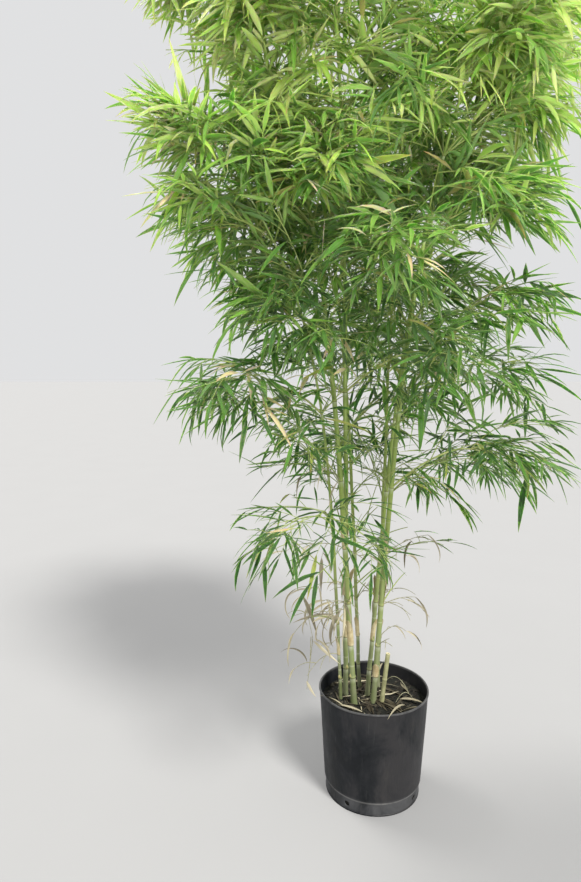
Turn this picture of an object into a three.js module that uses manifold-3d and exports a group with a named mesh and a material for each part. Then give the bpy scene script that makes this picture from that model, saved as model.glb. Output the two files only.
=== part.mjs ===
// A clumping bamboo in a black nursery pot, in millimetres, +Z up.
// The origin is the centre of the pot's flat underside, and the side that is photographed faces -Y.
// Seven living canes and one cut short stand on the potting mix. Low boughs carry masses of leaves, and
// higher masses grow straight from the canes, whose tops each end in a mass of their own.

import * as THREE from "three";
import { mergeVertices } from "three/addons/utils/BufferGeometryUtils.js";
import Module from "manifold-3d";

const wasm = await Module();
wasm.setup();

// Driving dimensions

const CLEARANCE = 0.3; // between pieces that rest on each other

const POT = {
  height: 300,
  rimRadius: 150,
  baseRadius: 133,
  wall: 2.6,
  floor: 4,
  sides: 36,
  lip: { height: 5, out: 1.8 }, // thickened edge at the rim
  foot: { height: 36, inset: 3, slope: 6 }, // narrower band round the base
  hem: { height: 5, out: 1.5 }, // ring that stands on the ground
  holes: { count: 4, radius: 7, height: 19, turn: -128, sides: 10 },
};

const MIX = { top: 268, flatRadius: 108, edgeDrop: 9 };

// Each cane: where it stands, the heading it leans to (0 is +X, 90 is +Y), its lean from upright, its
// length, its radius at the foot, and how far its tip arches out, as a share of the length.
const CANES = [
  { name: "left", foot: [-58, -38], heading: 180, lean: 3.8, length: 2120, radius: 7.8, arch: 0.12 },
  { name: "front", foot: [-77, 14], heading: 254, lean: 3.0, length: 2180, radius: 7.2, arch: 0.12 },
  { name: "thin_left", foot: [-92, -8], heading: 208, lean: 3.4, length: 1620, radius: 4.6, arch: 0.2 },
  { name: "back_left", foot: [-34, 52], heading: 132, lean: 3.6, length: 1900, radius: 5.2, arch: 0.13 },
  { name: "right", foot: [-4, -28], heading: 338, lean: 3.4, length: 2060, radius: 7.4, arch: 0.12 },
  { name: "back_right", foot: [-16, 12], heading: 16, lean: 4.4, length: 1980, radius: 6.4, arch: 0.13 },
  { name: "back", foot: [18, 48], heading: 72, lean: 4.2, length: 1840, radius: 5.6, arch: 0.14 },
];

const CANE = {
  sides: 5,
  nodes: 14, // joints along the whole length, closer together at the foot and the tip
  crowding: 0.08,
  thinning: 0.75, // share of the radius lost from foot to tip
  thinningPower: 1.3,
  flare: 1.25, // at the soil
  flareHeight: 22,
  ridge: { swell: 1.16, halfHeight: 4 },
  sag: 0.5, // how far the tip sinks, as a share of how far it arches out
  end: 0.87, // where the cane enters its tip mass
};

const CUT_CANE = { foot: [19, -30], heading: 2, lean: 6, length: 142, radius: 6.4, arch: 0 };

// A mass of leaves: the cane joints that it grows at, on one cane and on the next, and the bough that
// carries it, if it has one.
const LEVELS = [
  { name: "low", nodes: [5, 6], bough: 150 },
  { name: "mid", nodes: [7, 7], bough: 110 },
  { name: "upper", nodes: [8, 9], bough: 0 },
  { name: "high", nodes: [10, 10], bough: 0 },
];

const BOUGH = { sides: 5, radius: 3.2, tipRadius: 2.4, climb: 0.95, sag: 0.3, widest: 100, step: 10 };

// The stem of a mass, from which its shoots fan out.
const STEM = { radius: 2.2, tipRadius: 1.5, length: 74, sideLength: 105, climb: 0.9, sag: 0.3 };
const TIP_STEM = { length: 190, sag: 0.3 };

const SHOOT = {
  radius: 1.7,
  tipRadius: 1.2,
  length: 150,
  fan: 76, // widest turn from the stem's heading
  steepest: 58, // climb in degrees
  flattest: -12,
  sag: 0.3,
  tries: 60,
};

const LEAF = {
  length: 192,
  width: 28,
  thickness: 2.6,
  shoulder: 0.36, // share of the length where the blade is widest
  camber: 0.05, // how far the shoulder stands above the line from root to tip, as a share of the length
  fork: 40,
  droop: 0.3,
  sunk: 0.4, // how far the root passes the shoot's centre
  perShoot: 5,
  fewest: 3, // a shoot with room for fewer leaves is left out
  perMass: 15, // shoots are added until a mass has this many
  apart: 14, // between the midribs of two leaves
};

const REACH = 270; // a mass keeps within this distance of its centre
const CELL_MARGIN = 1.5; // and this far from the plane halfway to each other mass's centre
const LIMB_MARGIN = 2; // and this far from the limbs

// Colours

const paint = (color, roughness) => new THREE.MeshStandardMaterial({ color, roughness, metalness: 0 });
const BLACK_PLASTIC = paint(0x24272b, 0.55);
const POTTING_MIX = paint(0x4a3b2c, 0.95);
const CANE_GREEN = paint(0x8a9a4a, 0.5);
const DRY_CANE = paint(0x9a9670, 0.8);
const BOUGH_GREEN = paint(0x93a050, 0.55);
const LEAF_GREENS = [paint(0x5f8a2c, 0.6), paint(0x76a338, 0.6), paint(0x4c7a2c, 0.6)];

// Solids and meshes

// A closed geometry as a solid: vertices are merged and the faces that closed up at the axis are dropped.
function solidOf(geometry) {
  const bare = new THREE.BufferGeometry().setAttribute("position", geometry.getAttribute("position"));
  if (geometry.index) bare.setIndex(geometry.index);
  const merged = mergeVertices(bare, 1e-3);
  const index = merged.index.array;
  const faces = [];
  for (let i = 0; i < index.length; i += 3) {
    const [a, b, c] = [index[i], index[i + 1], index[i + 2]];
    if (a !== b && b !== c && c !== a) faces.push(a, b, c);
  }
  return new wasm.Manifold(
    new wasm.Mesh({
      numProp: 3,
      vertProperties: new Float32Array(merged.getAttribute("position").array),
      triVerts: new Uint32Array(faces),
    }),
  );
}

// A solid as a named mesh.
function meshOf(name, solid, material) {
  const { numProp, numVert, vertProperties, triVerts } = solid.getMesh();
  const positions = new Float32Array(numVert * 3);
  for (let i = 0; i < numVert; i += 1) {
    positions.set(vertProperties.subarray(i * numProp, i * numProp + 3), i * 3);
  }
  const geometry = new THREE.BufferGeometry()
    .setAttribute("position", new THREE.BufferAttribute(positions, 3))
    .setIndex(new THREE.BufferAttribute(new Uint32Array(triVerts), 1));
  geometry.computeVertexNormals();
  const mesh = new THREE.Mesh(geometry, material);
  mesh.name = name;
  return mesh;
}

// The largest of a solid's separate bodies.
function largestBody(solid) {
  return solid.decompose().reduce((best, body) => (body.volume() > best.volume() ? body : best));
}

// A solid of revolution about the Z axis, from [radius, height] pairs that start and end on the axis.
function turned(pairs, sides) {
  const profile = pairs.map(([radius, height]) => new THREE.Vector2(radius, height));
  return solidOf(new THREE.LatheGeometry(profile, sides).rotateX(Math.PI / 2));
}

// Limbs

const UP = new THREE.Vector3(0, 0, 1);

const headingVector = (degrees) => {
  const angle = THREE.MathUtils.degToRad(degrees);
  return new THREE.Vector3(Math.cos(angle), Math.sin(angle), 0);
};

// A limb's centre line, in the upright plane through its heading. At the share t of its length it is
// start + out (run t + arch t^power) + up (rise t - sag t^power).
class LimbCurve extends THREE.Curve {
  constructor({ start, out, run, arch = 0, rise, sag, power }) {
    super();
    Object.assign(this, { start, out, run, arch, rise, sag, power });
    this.side = new THREE.Vector3().crossVectors(out, UP);
  }

  getPoint(t, target = new THREE.Vector3()) {
    const bend = t ** this.power;
    return target
      .copy(this.start)
      .addScaledVector(this.out, this.run * t + this.arch * bend)
      .addScaledVector(UP, this.rise * t - this.sag * bend);
  }

  getTangent(t, target = new THREE.Vector3()) {
    const slope = this.power * t ** (this.power - 1);
    return target
      .set(0, 0, this.rise - this.sag * slope)
      .addScaledVector(this.out, this.run + this.arch * slope)
      .normalize();
  }
}

// A straight profile of [share of the length, radius] pairs, lathed and then bent along the curve.
function limbSolid(curve, profile, sides) {
  const outline = [[profile[0][0], 0], ...profile, [profile.at(-1)[0], 0]];
  const points = outline.map(([share, radius]) => new THREE.Vector2(radius, share));
  const geometry = new THREE.LatheGeometry(points, sides);
  const position = geometry.getAttribute("position");
  const [vertex, centre, along, across] = [0, 0, 0, 0].map(() => new THREE.Vector3());
  for (let i = 0; i < position.count; i += 1) {
    vertex.fromBufferAttribute(position, i);
    curve.getPoint(vertex.y, centre);
    curve.getTangent(vertex.y, along);
    across.crossVectors(curve.side, along);
    centre.addScaledVector(curve.side, vertex.x).addScaledVector(across, vertex.z);
    position.setXYZ(i, centre.x, centre.y, centre.z);
  }
  return solidOf(geometry);
}

// A limb as a chain of straight links with their radii, for measuring how close something comes to it.
function chainOf(owner, curve, from, to, radiusAt, count) {
  const shares = Array.from({ length: count + 1 }, (_, i) => from + ((to - from) * i) / count);
  const points = shares.map((share) => curve.getPoint(share));
  return {
    owner,
    links: points.slice(1).map((end, i) => ({ line: new THREE.Line3(points[i], end), radius: radiusAt(shares[i]) })),
    box: new THREE.Box3().setFromPoints(points).expandByScalar(radiusAt(from)),
  };
}

// Canes

// The share of a cane's length at which its joint number i lies.
const nodeShare = (i) => i / CANE.nodes - CANE.crowding * Math.sin((2 * Math.PI * i) / CANE.nodes);

const caneRadius = (cane, share) => cane.radius * (1 - CANE.thinning * share ** CANE.thinningPower);

function caneCurve(cane) {
  return new LimbCurve({
    start: new THREE.Vector3(cane.foot[0], cane.foot[1], MIX.top + CLEARANCE),
    out: headingVector(cane.heading),
    run: cane.length * Math.tan(THREE.MathUtils.degToRad(cane.lean)),
    arch: cane.length * cane.arch,
    rise: cane.length,
    sag: cane.length * cane.arch * CANE.sag,
    power: 4,
  });
}

// Radius along a cane: a flared foot that starts below the soil, then a raised ring at each joint.
function caneProfile(cane, extra = 0) {
  const flared = caneRadius(cane, 0) * CANE.flare + extra;
  const profile = [
    [-6 / cane.length, flared],
    [0, flared],
    [CANE.flareHeight / cane.length, caneRadius(cane, 0) + extra],
  ];
  const half = CANE.ridge.halfHeight / cane.length;
  for (let i = 1; nodeShare(i) + half < CANE.end; i += 1) {
    const share = nodeShare(i);
    const radius = caneRadius(cane, share);
    profile.push([share - half, radius + extra]);
    profile.push([share, radius * CANE.ridge.swell + extra]);
    profile.push([share + half, radius + extra]);
  }
  profile.push([CANE.end, caneRadius(cane, CANE.end) + extra]);
  return profile;
}

// A leaning cane's foot, cut level with the soil.
function levelFoot(solid) {
  return solid.trimByPlane([0, 0, 1], MIX.top + CLEARANCE);
}

// Boughs and the masses' stems

// A limb that leaves a cane at a joint, climbing and then sagging towards its tip.
function sideCurve(start, heading, length, { climb, sag }) {
  return new LimbCurve({
    start,
    out: headingVector(heading),
    run: length,
    rise: length * climb,
    sag: length * sag,
    power: 2,
  });
}

// The profile of a limb that tapers evenly.
const taper = (radius, tipRadius) => [[0, radius], [0.5, (radius + tipRadius) / 2], [1, tipRadius]];

// A point on the two straight lengths that a stem or a shoot is made of.
function onRod(curve, share) {
  const from = share < 0.5 ? 0 : 0.5;
  return curve.getPoint(from).lerp(curve.getPoint(from + 0.5), (share - from) * 2);
}

// A limb that goes on from the end of another one, clear of it, in the same direction.
function onward(curve, length, sag) {
  const along = curve.getTangent(1);
  const start = curve.getPoint(1).addScaledVector(along, CLEARANCE);
  const flat = Math.hypot(along.x, along.y);
  const out = flat > 1e-6 ? new THREE.Vector3(along.x / flat, along.y / flat, 0) : headingVector(0);
  return new LimbCurve({ start, out, run: flat * length, rise: along.z * length, sag: sag * length, power: 2 });
}

// Leaves

// A seeded run of numbers from 0 to 1.
function randomRun(seed) {
  let state = seed;
  return () => {
    state = (state * 1664525 + 1013904223) % 4294967296;
    return state / 4294967296;
  };
}

// A leaf: a three-sided spindle, lathed along its length and flattened, with a raised shoulder. Its upper
// edge is the midrib, and its root lies inside the shoot.
class Leaf {
  constructor(root, direction, roll, length, width) {
    const across = new THREE.Vector3().crossVectors(direction, UP).normalize().applyAxisAngle(direction, roll);
    Object.assign(this, { root, direction, length, width, across });
    this.face = new THREE.Vector3().crossVectors(across, direction);
  }

  // The point at a share of the length, so far to one side and so far above the leaf's own middle.
  at(share, side = 0, above = 0) {
    const bend = share < LEAF.shoulder ? share / LEAF.shoulder : (1 - share) / (1 - LEAF.shoulder);
    return this.root
      .clone()
      .addScaledVector(this.direction, share * this.length)
      .addScaledVector(this.across, side)
      .addScaledVector(this.face, above + LEAF.camber * this.length * Math.max(bend, 0));
  }

  solid() {
    const profile = [[0, -LEAF.sunk / this.length], [1, LEAF.shoulder], [0, 1]];
    const points = profile.map(([radius, share]) => new THREE.Vector2(radius, share));
    const geometry = new THREE.LatheGeometry(points, 3);
    const position = geometry.getAttribute("position");
    const halfWidth = this.width / Math.sqrt(3);
    for (let i = 0; i < position.count; i += 1) {
      const [x, share, z] = [position.getX(i), position.getY(i), position.getZ(i)];
      const point = this.at(share, x * halfWidth, (z * LEAF.thickness * 2) / 3);
      position.setXYZ(i, point.x, point.y, point.z);
    }
    return solidOf(geometry);
  }
}

// Whether points stay in a mass's own space: near its centre, and nearer to it than to any other.
function staysInside(points, centre, centres) {
  return points.every(
    (point) =>
      point.distanceTo(centre) < REACH &&
      centres.every((other) => {
        if (other === centre) return true;
        const gap = centre.distanceTo(other);
        const lead = (point.distanceToSquared(other) - point.distanceToSquared(centre)) / (2 * gap);
        return lead > CELL_MARGIN;
      }),
  );
}

// Whether a straight piece, given by its two ends and its radius, keeps clear of the limbs.
function clearsLimbs(from, to, radius, limbs, owner) {
  const piece = new THREE.Line3(from, to);
  const box = new THREE.Box3().setFromPoints([from, to]).expandByScalar(radius + LIMB_MARGIN);
  return limbs.every(
    (limb) =>
      limb.owner === owner ||
      !box.intersectsBox(limb.box) ||
      limb.links.every((link) => link.line.distanceSqToLine3(piece) > (radius + link.radius + LIMB_MARGIN) ** 2),
  );
}

// A mass of leaves. Shoots fan out from its stem, and each carries leaves to either side by turns and one
// at its end. Shoots are tried until the mass has its leaves, and one that finds no room is left out.
function growMass(mass, limbs, centres) {
  const random = randomRun(mass.seed);
  const spread = (amount) => (random() * 2 - 1) * amount;
  const turn = THREE.MathUtils.degToRad;
  const stem = limbSolid(mass.stem, taper(mass.stemRadius, STEM.tipRadius), 3);
  const pieces = [mass.cutter ? largestBody(stem.subtract(mass.cutter)).simplify(0.1) : stem];
  const ribs = [];
  const rods = [];
  const nears = (line, others, gap) => others.some((other) => other.distanceSqToLine3(line) < gap * gap);

  const growLeaf = (shoot, share, fork, siblings) => {
    const root = onRod(shoot, share);
    const direction = shoot.getTangent(share).applyAxisAngle(UP, turn(fork));
    direction.z -= LEAF.droop * (0.3 + 1.1 * random());
    direction.normalize();
    const length = LEAF.length * (0.82 + 0.28 * random());
    const width = LEAF.width * (0.86 + 0.24 * random());
    const leaf = new Leaf(root, direction, turn(spread(42)), length, width);
    const [shoulder, tip] = [leaf.at(LEAF.shoulder), leaf.at(1)];
    const edges = [-0.5, 0.5].map((side) => leaf.at(LEAF.shoulder, side * width));
    const rib = new THREE.Line3(root.clone().lerp(tip, 0.12), tip);
    if (!staysInside([shoulder, tip, ...edges], mass.centre, centres)) return;
    if (!clearsLimbs(root, shoulder, width * 0.42, limbs, mass.name)) return;
    if (!clearsLimbs(shoulder, tip, width * 0.5, limbs, mass.name)) return;
    if (nears(rib, [...ribs, ...siblings.map((other) => other.rib)], LEAF.apart)) return;
    if (nears(rib, rods, LEAF.apart / 2)) return;
    siblings.push({ rib, solid: leaf.solid() });
  };

  const growShoot = (share, side) => {
    const root = onRod(mass.stem, share);
    const ahead = mass.stem.getTangent(share).setZ(0).normalize();
    const azimuth = mass.upright ? 360 * random() : side * SHOOT.fan * random() ** 0.7;
    const climb = turn(SHOOT.flattest + (SHOOT.steepest - SHOOT.flattest) * random());
    const length = SHOOT.length * (0.75 + 0.4 * random());
    const shoot = new LimbCurve({
      start: root,
      out: ahead.applyAxisAngle(UP, turn(azimuth)),
      run: length * Math.cos(climb),
      rise: length * Math.sin(climb),
      sag: length * SHOOT.sag,
      power: 2,
    });
    const [middle, tip] = [shoot.getPoint(0.5), shoot.getPoint(1)];
    const rod = [new THREE.Line3(root.clone().lerp(middle, 0.2), middle), new THREE.Line3(middle, tip)];
    if (!staysInside([middle, tip], mass.centre, centres)) return;
    if (!rod.every((line) => clearsLimbs(line.start, line.end, SHOOT.radius, limbs, mass.name))) return;
    if (rod.some((line) => nears(line, ribs, LEAF.apart / 2))) return;
    const leaves = [];
    growLeaf(shoot, 0.985, spread(8), leaves);
    for (let i = 1; i < LEAF.perShoot; i += 1) {
      growLeaf(shoot, 1 - (0.66 * i) / (LEAF.perShoot - 1), (i % 2 ? 1 : -1) * (LEAF.fork + spread(10)), leaves);
    }
    if (leaves.length < LEAF.fewest) return;
    const profile = [[0, 0], [0.07, SHOOT.radius], [0.5, SHOOT.radius], [1, SHOOT.tipRadius]];
    pieces.push(limbSolid(shoot, profile, 3), ...leaves.map((leaf) => leaf.solid));
    ribs.push(...leaves.map((leaf) => leaf.rib));
    rods.push(...rod);
  };

  for (let i = 0; i < SHOOT.tries && ribs.length < LEAF.perMass; i += 1) {
    const share = mass.upright ? 0.2 + 0.78 * ((i * 0.618) % 1) : 0.55 + 0.42 * random();
    growShoot(share, i % 2 ? 1 : -1);
  }
  return largestBody(wasm.Manifold.union(pieces)).simplify(0.1);
}

// The pot

function makePot() {
  const { height, rimRadius, baseRadius, wall, floor, lip, foot, hem, holes } = POT;
  const outside = (z) => baseRadius + ((rimRadius - baseRadius) * z) / height;
  const narrow = (z) => outside(z) - foot.inset;
  const inside = (z) => (z < foot.height + foot.slope ? narrow(z) : outside(z)) - wall;
  const shell = turned(
    [
      [0, 0],
      [narrow(0) + hem.out, 0],
      [narrow(0) + hem.out, hem.height - 1],
      [narrow(hem.height), hem.height],
      [narrow(foot.height), foot.height],
      [outside(foot.height + foot.slope), foot.height + foot.slope],
      [outside(height - lip.height), height - lip.height],
      [outside(height) + lip.out, height - lip.height + 1],
      [outside(height) + lip.out, height],
      [outside(height) - wall, height],
      [inside(foot.height + foot.slope), foot.height + foot.slope],
      [inside(foot.height), foot.height],
      [inside(floor), floor],
      [0, floor],
    ],
    POT.sides,
  );
  const bores = Array.from({ length: holes.count }, (_, i) => {
    const way = headingVector(holes.turn + (360 * i) / holes.count);
    const bore = new THREE.CylinderGeometry(holes.radius, holes.radius, wall * 8, holes.sides);
    bore.applyQuaternion(new THREE.Quaternion().setFromUnitVectors(new THREE.Vector3(0, 1, 0), way));
    bore.translate(way.x * narrow(holes.height), way.y * narrow(holes.height), holes.height);
    return solidOf(bore);
  });
  return shell.subtract(wasm.Manifold.union(bores));
}

// The potting mix fills the pot's inside, and its flat top slopes down to the wall.
function makePottingMix() {
  const { height, rimRadius, baseRadius, wall, floor, foot } = POT;
  const outside = (z) => baseRadius + ((rimRadius - baseRadius) * z) / height;
  // The pot's faceted wall comes closer to the axis than its corners do.
  const facet = Math.cos(Math.PI / POT.sides);
  const inside = (z, inset) => (outside(z) - inset - wall) * facet - CLEARANCE;
  const shelf = foot.height + foot.slope;
  return turned(
    [
      [0, floor + CLEARANCE],
      [inside(floor, foot.inset), floor + CLEARANCE],
      [inside(foot.height, foot.inset), foot.height],
      [inside(shelf, 0), shelf + 1],
      [inside(MIX.top - MIX.edgeDrop, 0), MIX.top - MIX.edgeDrop],
      [MIX.flatRadius, MIX.top],
      [0, MIX.top],
    ],
    POT.sides,
  );
}

// The plant

const plant = new THREE.Group();
plant.name = "potted_bamboo";
plant.add(meshOf("pot", makePot(), BLACK_PLASTIC));
plant.add(meshOf("potting_mix", makePottingMix(), POTTING_MIX));

const limbs = [];
const masses = [];

// Each cane, and the mass that its tip goes on into.
const canes = CANES.map((cane, row) => {
  const curve = caneCurve(cane);
  const shape = (extra) => limbSolid(curve, caneProfile(cane, extra), CANE.sides);
  plant.add(meshOf(`cane_${cane.name}`, levelFoot(shape(0)), CANE_GREEN));
  const widest = (share) => caneRadius(cane, share) * CANE.ridge.swell;
  limbs.push(chainOf(cane.name, curve, 0, CANE.end, widest, 16));

  const bend = CANE.end ** curve.power;
  const shortened = new LimbCurve({
    ...curve,
    run: curve.run * CANE.end,
    arch: curve.arch * bend,
    rise: curve.rise * CANE.end,
    sag: curve.sag * bend,
  });
  const name = `foliage_${cane.name}_tip`;
  const stem = onward(shortened, TIP_STEM.length, TIP_STEM.sag);
  const stemRadius = caneRadius(cane, CANE.end);
  masses.push({ name, seed: 97 * (row + 1) + 13, stem, stemRadius, upright: true, centre: stem.getPoint(0.7) });
  limbs.push(chainOf(name, stem, 0.05, 1, () => stemRadius, 5));
  return { ...cane, curve, cutter: shape(CLEARANCE) };
});

// The bough and the stem that leave a cane at a joint, on the heading that clears every limb so far and
// brings the mass furthest from the others.
function openSide(cane, start, boughLength) {
  const ways = [];
  for (let offset = -BOUGH.widest; offset <= BOUGH.widest; offset += BOUGH.step) {
    const heading = cane.heading + offset;
    const bough = boughLength ? sideCurve(start, heading, boughLength, BOUGH) : null;
    const stem = bough ? onward(bough, STEM.length, STEM.sag) : sideCurve(start, heading, STEM.sideLength, STEM);
    const points = [0, 0.5, 1].map((share) => (bough ?? stem).getPoint(share));
    points.push(stem.getPoint(1));
    const centre = stem.getPoint(1.2);
    const room = Math.min(...masses.map((mass) => mass.centre.distanceTo(centre)));
    if (points.slice(1).every((end, i) => clearsLimbs(points[i], end, BOUGH.radius, limbs, cane.name))) {
      ways.push({ bough, stem, centre, room });
    }
  }
  return ways.reduce((best, way) => (way.room > best.room ? way : best));
}

canes.forEach((cane, row) => {
  LEVELS.forEach((level, step) => {
    const share = nodeShare(level.nodes[row % 2]);
    const start = cane.curve.getPoint(share);
    const name = `foliage_${cane.name}_${level.name}`;
    const { bough, stem, centre } = openSide(cane, start, level.bough);
    if (bough) {
      const boughName = `bough_${cane.name}_${level.name}`;
      const shape = limbSolid(bough, taper(BOUGH.radius, BOUGH.tipRadius), BOUGH.sides);
      plant.add(meshOf(boughName, largestBody(shape.subtract(cane.cutter)), BOUGH_GREEN));
      limbs.push(chainOf(boughName, bough, 0.04, 1, () => BOUGH.radius, 5));
    }
    const cutter = bough ? null : cane.cutter;
    const stemRadius = bough ? BOUGH.tipRadius : Math.min(STEM.radius, 0.7 * caneRadius(cane, share));
    masses.push({ name, seed: 97 * (row + 1) + 31 * step, stem, stemRadius, cutter, centre });
    limbs.push(chainOf(name, stem, 0.1, 1, () => stemRadius, 5));
  });
});

const cutProfile = [
  [-6 / CUT_CANE.length, CUT_CANE.radius * 1.15],
  [0.2, CUT_CANE.radius],
  [1, CUT_CANE.radius * 0.95],
];
const cutCane = levelFoot(limbSolid(caneCurve(CUT_CANE), cutProfile, CANE.sides));
plant.add(meshOf("cane_cut", cutCane, DRY_CANE));

const centres = masses.map((mass) => mass.centre);
masses.forEach((mass, i) => {
  plant.add(meshOf(mass.name, growMass(mass, limbs, centres), LEAF_GREENS[i % LEAF_GREENS.length]));
});

export default plant;
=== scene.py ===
# A clumping bamboo in a black nursery pot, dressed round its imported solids. Metres, +Z up, and the side
# that is photographed faces -Y. The sections follow the plant from its pot up to its leaves.

import math

import bpy
import numpy as np
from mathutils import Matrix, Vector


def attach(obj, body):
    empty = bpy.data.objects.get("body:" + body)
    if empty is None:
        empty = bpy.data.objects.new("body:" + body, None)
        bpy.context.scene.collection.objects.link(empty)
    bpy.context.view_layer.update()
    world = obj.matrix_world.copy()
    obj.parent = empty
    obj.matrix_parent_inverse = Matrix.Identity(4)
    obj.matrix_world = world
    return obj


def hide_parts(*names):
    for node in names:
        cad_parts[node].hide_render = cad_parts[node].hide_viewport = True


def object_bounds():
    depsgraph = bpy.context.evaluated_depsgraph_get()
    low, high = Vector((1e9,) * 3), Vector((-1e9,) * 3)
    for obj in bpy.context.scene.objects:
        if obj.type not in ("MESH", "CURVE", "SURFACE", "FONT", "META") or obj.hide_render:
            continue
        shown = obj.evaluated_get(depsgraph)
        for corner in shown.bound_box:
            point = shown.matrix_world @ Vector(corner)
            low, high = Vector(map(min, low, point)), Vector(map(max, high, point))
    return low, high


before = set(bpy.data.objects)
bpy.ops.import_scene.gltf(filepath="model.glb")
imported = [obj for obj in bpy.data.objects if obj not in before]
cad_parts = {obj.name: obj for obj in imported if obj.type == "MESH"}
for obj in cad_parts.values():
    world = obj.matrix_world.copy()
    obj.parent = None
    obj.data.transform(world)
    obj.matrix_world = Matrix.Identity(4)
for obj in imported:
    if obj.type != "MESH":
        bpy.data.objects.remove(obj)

cad_low, cad_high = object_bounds()

# The pot
# A tapered nursery pot, blow moulded in black polyethylene. The thin wall ends in a rolled lip, steps in to
# a foot band near the ground and stands on a hem ring. Four drain holes are cut through the band.

POT_HEIGHT = 0.300
POT_RIM = 0.150
POT_BASE = 0.133
POT_WALL = 0.0026
POT_FLOOR = 0.004
POT_LIP = 0.0018
POT_HEM = 0.0015
FOOT_TOP = 0.036
FOOT_STEP = 0.006
FOOT_INSET = 0.003
DRAIN_RADIUS = 0.007
DRAIN_HEIGHT = 0.019
DRAIN_HEADINGS = (-128, -38, 52, 142)
DRAIN_DEPTHS = (0.12, 0.14)  # the stretch that is cut out, from the pot's axis
POT_COLUMNS = 160
UP = np.array([0.0, 0.0, 1.0])


def srgb(colour):
    """A colour as it is seen, 0 to 255 a channel, as the linear colour that a shader takes."""
    seen = np.array(colour) / 255
    linear = np.where(seen <= 0.04045, seen / 12.92, ((seen + 0.055) / 1.055) ** 2.4)
    return (*linear, 1.0)


class Finish:
    """A procedural material. Each method adds nodes and gives back the socket that comes out of them.

    Colours are given as they are seen, 0 to 255 a channel.
    """

    def __init__(self, name, constants):
        self.material = bpy.data.materials.new(name)
        self.material.use_nodes = True
        self.tree = self.material.node_tree
        self.shader = self.tree.nodes["Principled BSDF"]
        for socket, value in constants.items():
            self.shader.inputs[socket].default_value = value

    def node(self, kind, inputs, output=0, **settings):
        """A shader node of that kind, its settings and its inputs, which are values or sockets."""
        node = self.tree.nodes.new("ShaderNode" + kind)
        for name, value in settings.items():
            setattr(node, name, value)
        for name, value in inputs.items():
            if isinstance(value, bpy.types.NodeSocket):
                self.tree.links.new(value, node.inputs[name])
            else:
                node.inputs[name].default_value = value
        return node.outputs[output]

    def spot(self, scale=(1, 1, 1)):
        """The place on the piece, stretched by scale along X, Y and Z."""
        place = self.node("TexCoord", {}, "Object")
        return self.node("Mapping", {"Vector": place, "Scale": scale})

    def noise(self, scale, detail=4.0, roughness=0.5, stretch=(1, 1, 1), distortion=0.0):
        """Cloudy grey from 0 to 1, with scale clouds to a metre."""
        inputs = {"Vector": self.spot(stretch), "Scale": scale, "Detail": detail}
        inputs.update({"Roughness": roughness, "Distortion": distortion})
        return self.node("TexNoise", inputs)

    def ramp(self, factor, *stops):
        """Colours at positions from 0 to 1, blended between, picked by the factor."""
        node = self.tree.nodes.new("ShaderNodeValToRGB")
        self.tree.links.new(factor, node.inputs[0])
        elements = node.color_ramp.elements
        while len(elements) < len(stops):
            elements.new(0.5)
        for element, (position, colour) in zip(elements, stops):
            element.position = position
            element.color = srgb(colour)
        return node.outputs[0]

    def span(self, value, low, high, to_low=0.0, to_high=1.0):
        """The value's share of the way from low to high, held between to_low and to_high."""
        inputs = {"Value": value, "From Min": low, "From Max": high, "To Min": to_low, "To Max": to_high}
        return self.node("MapRange", inputs)

    def sum(self, operation, first, second=0.0):
        """A sum on one or two numbers."""
        return self.node("Math", {0: first, 1: second}, operation=operation)

    def times(self, first, second):
        """The product of two numbers."""
        return self.sum("MULTIPLY", first, second)

    def band(self, value, rise, fall):
        """One inside a band of the value and nothing outside it, between the two ranges where it changes."""
        return self.times(self.span(value, *rise), self.span(value, *fall))

    def mix(self, share, first, second):
        """A share of the second colour over the first."""
        first, second = (srgb(tone) if isinstance(tone, tuple) else tone for tone in (first, second))
        return self.node("Mix", {0: share, 6: first, 7: second}, 2, data_type="RGBA")

    def coat(self, under, over, value, low, high, most=1.0):
        """One colour over another, from none of it to the most as the value goes from low to high."""
        return self.mix(self.span(value, low, high, 0, most), under, over)

    def axis(self, name):
        """How far along X, Y or Z the place on the piece is."""
        return self.node("SeparateXYZ", {"Vector": self.spot()}, name)

    def fibre(self, across, along):
        """Cloudy grey drawn out into fibres, so many across the piece's own map and so many along it."""
        laid = self.node("Mapping", {"Vector": self.node("TexCoord", {}, "UV"), "Scale": (across, along, 1)})
        return self.node("TexNoise", {"Vector": laid, "Scale": 1.0, "Detail": 3.0})

    def number(self, name):
        """The value of one of the piece's own attributes."""
        return self.node("Attribute", {}, "Fac", attribute_name=name)

    def wear(self, colour, roughness=None, relief=()):
        """Puts on the colour, the roughness and the relief, a list of heights and how deep each is."""
        self.tree.links.new(colour, self.shader.inputs["Base Color"])
        if roughness is not None:
            self.tree.links.new(roughness, self.shader.inputs["Roughness"])
        normal = None
        for height, depth in relief:
            inputs = {"Height": height, "Distance": depth}
            if normal is not None:
                inputs["Normal"] = normal
            normal = self.node("Bump", inputs)
        if normal is not None:
            self.tree.links.new(normal, self.shader.inputs["Normal"])


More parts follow.
